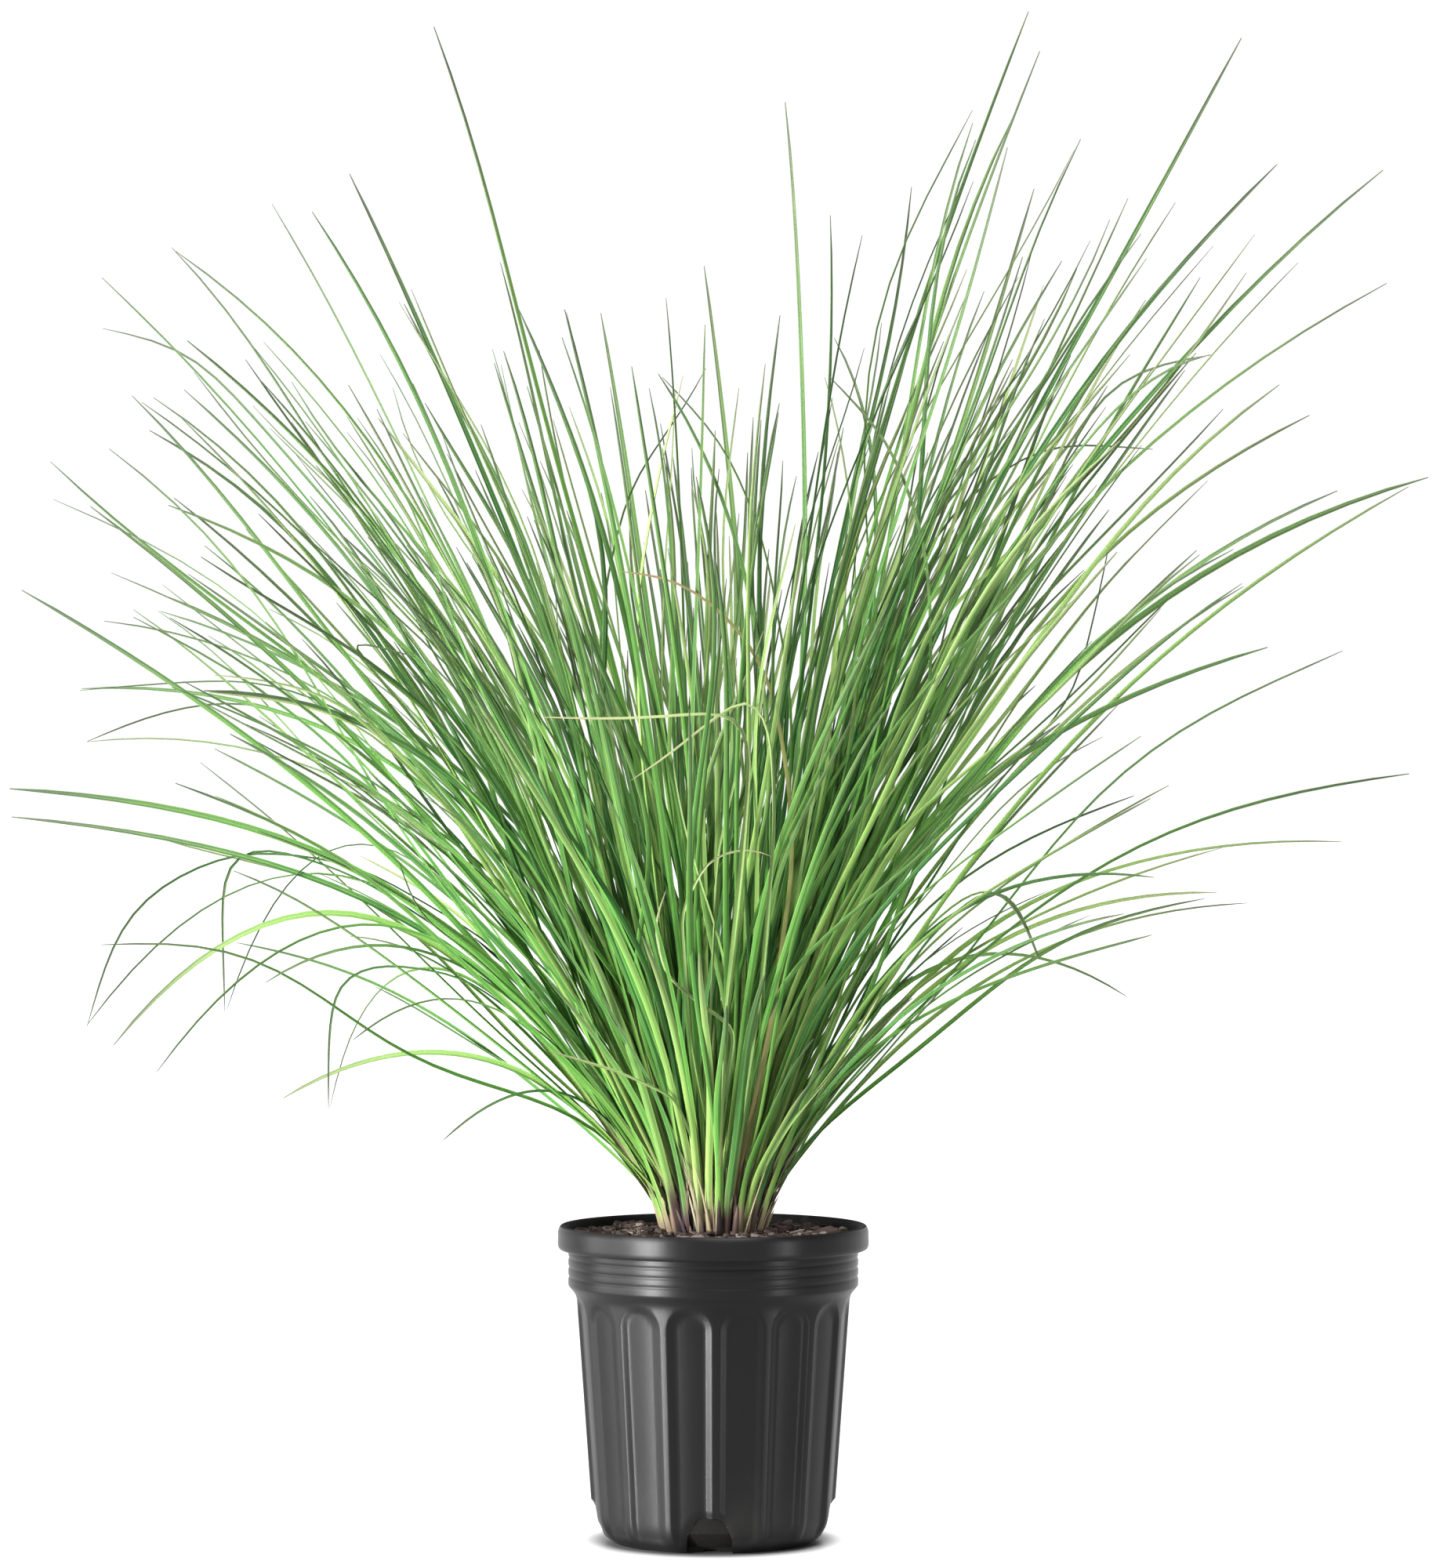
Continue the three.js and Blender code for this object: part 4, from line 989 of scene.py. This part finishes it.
# What a stray leaf is like, its width and how far its end is behind the axis, in millimetres, and
# places along it as they are seen from the front: x and height, from the clump to its end.
STRAY_LEAVES = (
    ("dead", 2.6, -190,
     ((2, 168), (6, 276), (16, 367), (20, 421), (12, 441), (-17, 437), (-54, 435), (-91, 436))),
    ("dead", 2.2, -175,
     ((8, 168), (26, 297), (33, 380), (31, 430), (21, 450), (-4, 432), (-24, 415), (-44, 402))),
    ("dead", 2.3, -120,
     ((-2, 168), (6, 234), (12, 271), (-7, 284), (-25, 299), (-31, 326), (-25, 344))),
    ("dead", 2.2, -70,
     ((-6, 168), (-10, 209), (-21, 234), (-50, 248), (-87, 259))),
    ("dead", 2.0, -80,
     ((17, 168), (29, 201), (41, 221), (62, 246), (77, 268), (88, 288))),
    ("dead", 2.0, -130,
     ((6, 168), (-12, 263), (-17, 334), (-2, 362), (22, 367), (31, 362))),
    ("dead", 1.8, -150,
     ((-4, 168), (-2, 276), (2, 363), (15, 417), (13, 450), (10, 484))),
    ("brown", 3.2, -150,
     ((8, 168), (31, 276), (42, 359), (40, 400), (31, 452), (19, 475), (5, 491), (-13, 505),
      (-28, 511), (-49, 513))),
    ("green", 3.4, -60,
     ((-19, 170), (-58, 297), (-112, 396), (-154, 442), (-183, 463), (-200, 480), (-195, 479),
      (-179, 474), (-158, 468))),
    ("green", 3.0, -70,
     ((-17, 170), (-87, 272), (-129, 311), (-155, 329), (-162, 344), (-167, 360))),
    ("dark", 2.2, 30,
     ((-21, 172), (-112, 301), (-187, 351), (-237, 368), (-258, 366), (-261, 346), (-260, 317),
      (-259, 280))),
    ("dark", 2.0, -40,
     ((-20, 171), (-79, 259), (-133, 299), (-179, 306), (-200, 297), (-204, 268), (-204, 228))),
    ("dark", 2.2, 50,
     ((-22, 172), (-112, 313), (-191, 359), (-251, 366), (-287, 351), (-308, 336), (-321, 311),
      (-332, 272))),
    ("dark", 2.4, 60,
     ((-20, 172), (-129, 367), (-204, 432), (-254, 446), (-297, 438), (-332, 423))),
    ("dark", 2.4, 20,
     ((-18, 172), (-121, 380), (-195, 440), (-241, 456), (-287, 454), (-336, 450))),
    ("dark", 2.2, 90,
     ((-17, 172), (-112, 425), (-183, 525), (-241, 592), (-278, 633), (-324, 642))),
    ("green", 3.2, 30,
     ((21, 172), (91, 326), (150, 484), (183, 567), (206, 612), (233, 624), (264, 628))),
    ("dark", 3.0, -50,
     ((27, 171), (75, 263), (116, 322), (146, 347), (159, 342), (173, 308))),
    ("green", 3.4, -90,
     ((10, 168), (37, 317), (42, 442), (27, 529), (6, 581), (-27, 616))),
    ("green", 3.2, -60,
     ((19, 170), (91, 338), (116, 450), (114, 525), (94, 583), (61, 617))),
    ("yellow", 3.2, -110,
     ((-2, 168), (-25, 297), (-39, 421), (-41, 500), (-29, 567), (-16, 617))),
    ("green", 3.0, 60,
     ((-4, 170), (-50, 359), (-62, 484), (-46, 558), (-10, 608), (-4, 621))),
    ("yellow", 4.2, -90,
     ((-16, 170), (-79, 292), (-145, 396), (-199, 446), (-233, 455), (-264, 458))),
    ("yellow", 3.8, -110,
     ((-15, 170), (-71, 284), (-129, 376), (-183, 430), (-220, 444), (-267, 449))),
    ("green", 3.4, 40,
     ((15, 170), (42, 338), (75, 463), (129, 550), (175, 583), (233, 578))),
    ("dark", 3.2, -30,
     ((25, 172), (87, 305), (145, 396), (191, 446), (204, 500), (210, 529))),
)

# The nature of each kind: how deep its green is, how worn its ends are, and how yellow it is.
STRAY_NATURES = {"dead": (0.2, 0.3, 0.5), "brown": (0.9, 0.9, 0), "green": (0.2, 0.3, 0.3),
                 "dark": (0.95, 1, 0), "yellow": (0.1, 0.2, 0.95)}


def line_through(spots, count, rounds):
    """An even line through spots, rounded by drawing each point towards its neighbours."""
    spots = np.array(spots)
    steps = np.linalg.norm(np.diff(spots, axis=0), axis=1)
    reached = np.concatenate([[0], np.cumsum(steps)])
    even = np.linspace(0, reached[-1], count)
    line = np.stack([np.interp(even, reached, spots[:, i]) for i in range(3)], -1)
    for _ in range(rounds):
        line[1:-1] = line[:-2] / 4 + line[1:-1] / 2 + line[2:] / 4
    return line


# A stray leaf's root is this far in front of or behind the axis, and its foot this share of its
# width. Its bow begins at the height of the clump's foot, in millimetres.
STRAY_ROOT_DEPTH = 0.012
STRAY_FOOT_SHARE = 0.8
CLUMP_FOOT = 160
STRAY_SEED = 5

stray_draws = random.Random(STRAY_SEED)
living, dead = Blades(), Blades()
for kind, width, depth, seen in STRAY_LEAVES:
    top = max(height for _, height in seen)
    root_y = -STRAY_ROOT_DEPTH if depth < 0 else STRAY_ROOT_DEPTH
    spots = [(seen[0][0] * 0.0007, root_y, SOIL_HEIGHT - FOOT_DEPTH)]
    for x, height in seen:
        risen = min((height - CLUMP_FOOT) / (top - CLUMP_FOOT), 1)
        behind = depth / 1000 * (0.08 + 0.92 * risen)
        spread = 1 + behind / VIEW_DISTANCE
        up = VIEW_HEIGHT + (height / 1000 - VIEW_HEIGHT) * spread
        spots.append((x / 1000 * spread, behind, up))
    withered = kind in ("dead", "brown")
    line = line_through(spots, STRAY_STATIONS, 3 if withered else 5)
    fold = np.full(STRAY_STATIONS, 0.9 if withered else 0.5)
    curl = 5 if kind == "dead" else 1.2
    angles = stray_draws.uniform(-0.6, 0.6) + np.linspace(0, 1, STRAY_STATIONS) * (
        curl * stray_draws.uniform(0.4, 1))
    sideways = np.array([0.86, 0.5, 0.1]) if withered else np.array([0.5, 0.86, 0.1])
    widths = leaf_widths(STRAY_STATIONS, width / 1000, STRAY_FOOT_SHARE)
    blades = dead if withered else living
    blades.add(line, widths, fold, BLADE_THICKNESS, sideways, angles, STRAY_NATURES[kind])
put_in_place("stray_leaves", living.mesh("stray_leaves"), green.material, "green_leaf")

straw = Finish("dead_leaf", Specular_IOR_Level=0.3)
place, across = straw.parts(straw.kept("leaf_spot"), "XY")
depth, = straw.parts(straw.kept("leaf_nature"), "X")
fibres = straw.speckle(straw.joined(across * 7, place * 5, depth * 30), 2, 3)
worn = place + (fibres - 0.5) * 0.2
faded = straw.ramp(
    worn, (0.0, (0.18, 0.12, 0.06)), (0.2, (0.10, 0.17, 0.045)), (0.5, (0.12, 0.20, 0.055)),
    (0.8, (0.15, 0.21, 0.075)), (1.0, (0.17, 0.16, 0.085)))
browned = straw.ramp(
    worn, (0.0, (0.16, 0.11, 0.05)), (0.5, (0.15, 0.17, 0.045)), (0.85, (0.13, 0.13, 0.04)),
    (1.0, (0.17, 0.11, 0.06)))
dry = straw.mix(depth.between(0.4, 0.8), faded, browned)
straw.surface(
    Base_Color=straw.mix(fibres.between(0.5, 0.75) * 0.3, dry, (0.16, 0.13, 0.06)),
    Roughness=0.62 + fibres * 0.2,
    Normal=straw.relief(fibres, 0.4, 0.0003),
)
put_in_place("dead_strands", dead.mesh("dead_strands"), straw.material, "green_leaf")


# Dry sheaths: the papery brown feet of old leaves, worn to points. They ring the foot of the clump,
# pressed against it, and every other one is a long thin shred that stands up between the leaves.
SHEATH_COUNT = 420
SHEATH_STATIONS = 9
SHEATH_THICKNESS = 0.0003
SHEATH_NEAREST, SHEATH_FARTHEST = 0.012, 0.0262
SHEATH_SEED = 8

# From where to where, left to right, the sheaths at the front have a foot painted slate-dark, a
# painted shadow.
PAINTED_SHADOW_FROM, PAINTED_SHADOW_TO = -0.021, -0.002

# The least and most length and width, of a sheath and of a shred.
SHEATH_SIZES = ((0.012, 0.032), (0.0024, 0.0044))
SHRED_SIZES = ((0.024, 0.06), (0.0008, 0.002))

# A sheath's nature: how pale its brown is, a spare number, and whether its foot has the painted
# shadow.
sheath_draws = random.Random(SHEATH_SEED)
sheaths = Blades()
upward = np.array([0, 0, 1.0])
for i in range(SHEATH_COUNT):
    heading = GOLDEN_ANGLE * i + sheath_draws.uniform(-0.1, 0.1)
    reach = sheath_draws.uniform(SHEATH_NEAREST, SHEATH_FARTHEST)
    sizes = SHRED_SIZES if i % 2 == 0 else SHEATH_SIZES
    length, width = [sheath_draws.uniform(least, most) for least, most in sizes]
    lean = math.radians(sheath_draws.uniform(2, 13) + reach * 300)
    steps = np.linspace(0, 1, SHEATH_STATIONS)[:, None]
    out = np.array([math.cos(heading), math.sin(heading), 0])
    sideways = np.array([-out[1], out[0], 0])
    bend = lean + sheath_draws.uniform(-0.12, 0.08) * steps ** 2
    stray = sheath_draws.uniform(-0.2, 0.2)
    line = out * reach + upward * (SOIL_HEIGHT - FOOT_DEPTH)
    line = line + out * (steps * length * np.sin(bend)) + upward * (steps * length * np.cos(bend))
    line = line + sideways * (stray * length * steps ** 1.5)
    widths = width * np.interp(steps[:, 0], [0, 0.3, 0.75, 1], [1, 0.95, 0.55, 0.06])
    fold = np.full(SHEATH_STATIONS, sheath_draws.uniform(0.15, 0.45))
    angles = np.full(SHEATH_STATIONS, sheath_draws.uniform(-0.5, 0.5))
    painted_shadow = int(PAINTED_SHADOW_FROM < line[0][0] < PAINTED_SHADOW_TO and line[0][1] < 0)
    nature = (sheath_draws.random(), sheath_draws.random(), painted_shadow)
    sheaths.add(line, widths, fold, SHEATH_THICKNESS, sideways, angles, nature)

husk = Finish("dry_leaf_sheath", Specular_IOR_Level=0.3)
place, across = husk.parts(husk.kept("leaf_spot"), "XY")
paleness, painted_shadow = husk.parts(husk.kept("leaf_nature"), "XZ")
fibres = husk.speckle(husk.joined(across * 8, place * 2, paleness * 60), 2, 3)
brown = husk.ramp(
    paleness, (0.0, (0.008, 0.007, 0.01)), (0.3, (0.03, 0.018, 0.018)),
    (0.55, (0.085, 0.05, 0.042)), (0.75, (0.16, 0.115, 0.075)), (0.9, (0.27, 0.24, 0.13)),
    (1.0, (0.40, 0.37, 0.24)))
brown = husk.mix(fibres.between(0.4, 0.7) * 0.5, brown, (0.03, 0.02, 0.018))
# Painted shadow: the feet of these front sheaths are darkened to a slate blue.
painted_shadow_foot = painted_shadow * (1 - place.between(0.1, 0.7))
brown = husk.mix(painted_shadow_foot * 0.8, brown, (0.018, 0.021, 0.038))
husk.surface(
    Base_Color=husk.mix(place.between(0.6, 1.0) * 0.3, brown, (0.26, 0.2, 0.14)),
    Roughness=0.7 + fibres * 0.2,
    Normal=husk.relief(fibres, 0.5, 0.0004),
)
put_in_place("dry_sheaths", sheaths.mesh("dry_sheaths"), husk.material, "dry_sheath",
             "basal_sheaths")


# Studio: a white floor that runs out of sight, a white surround that dims overhead, and soft lamps
# to the left, above and low on both sides. Right round the pot's foot the floor's glow is cut to
# none, a painted contact shadow.
FLOOR_SIZE = 60
FLOOR_GLOW = 0.235
PAINTED_FLOOR_SHADOW_INNER, PAINTED_FLOOR_SHADOW_OUTER = 0.056, 0.074
floor_mesh = bpy.data.meshes.new("floor")
corners = [(x * FLOOR_SIZE, y * FLOOR_SIZE, 0) for x, y in ((-1, -1), (1, -1), (1, 1), (-1, 1))]
floor_mesh.from_pydata(corners, [], [(0, 1, 2, 3)])
floor = bpy.data.objects.new("floor", floor_mesh)
bpy.context.scene.collection.objects.link(floor)
paper = Finish("white_floor", Roughness=0.35, Specular_IOR_Level=0.5, Emission_Strength=4)
cloud = paper.speckle(paper.spot(), 2)
from_pot = paper.node("ShaderNodeVectorMath", {"operation": "LENGTH"}, {0: paper.spot()}, "Value")
# Painted contact shadow: the floor's glow is none up to the pot's foot and rises to full just
# beyond it.
beyond_floor_shadow = from_pot.between(PAINTED_FLOOR_SHADOW_INNER, PAINTED_FLOOR_SHADOW_OUTER)
paper.surface(
    Base_Color=paper.mix(cloud, (0.11, 0.11, 0.11), (0.12, 0.12, 0.12)),
    Emission_Color=paper.mix(beyond_floor_shadow, (0, 0, 0), (FLOOR_GLOW, FLOOR_GLOW, FLOOR_GLOW)),
)
floor_mesh.materials.append(paper.material)

# The surround's light, and how far up the sky, from 0 to 1, it starts and ends to dim.
SURROUND_LIGHT = (("From Min", 0.2), ("From Max", 0.5), ("To Min", 1.03), ("To Max", 0.4))
world = bpy.data.worlds.new("white_surround")
world.use_nodes = True
nodes, links = world.node_tree.nodes, world.node_tree.links
direction = nodes.new("ShaderNodeTexCoord")
parts = nodes.new("ShaderNodeSeparateXYZ")
links.new(direction.outputs["Generated"], parts.inputs[0])
dimming = nodes.new("ShaderNodeMapRange")
links.new(parts.outputs["Z"], dimming.inputs["Value"])
for socket, value in SURROUND_LIGHT:
    dimming.inputs[socket].default_value = value
links.new(dimming.outputs[0], nodes["Background"].inputs["Strength"])
nodes["Background"].inputs["Color"].default_value = (1, 1, 1, 1)
bpy.context.scene.world = world
bpy.context.scene.view_settings.view_transform = "Standard"

# The soft lamps: how many degrees to the left of the camera, how far out and up, their width and
# height, and their power. All are aimed at the lower leaves.
LAMPS = (
    ("left_softbox", 55, 2.0, 1.1, (1.0, 1.0), 60),
    ("left_strip", 48, 2.0, 0.2, (0.5, 0.4), 105),
    ("side_softbox", 84, 2.0, 0.4, (1.5, 0.8), 44),
    ("top_softbox", -20, 0.9, 2.5, (1.3, 1.3), 90),
    ("right_strip", -54, 2.0, 0.2, (0.25, 0.4), 11),
)
LAMP_TARGET = Vector((0, 0, 0.35))
for name, turn, reach, height, size, power in LAMPS:
    data = bpy.data.lights.new(name, "AREA")
    data.shape = "RECTANGLE"
    data.size, data.size_y = size
    data.energy = power
    lamp = bpy.data.objects.new(name, data)
    bpy.context.scene.collection.objects.link(lamp)
    heading = math.radians(turn)
    lamp.location = (-reach * math.sin(heading), -reach * math.cos(heading), height)
    lamp.rotation_euler = (LAMP_TARGET - lamp.location).to_track_quat("-Z", "Y").to_euler()
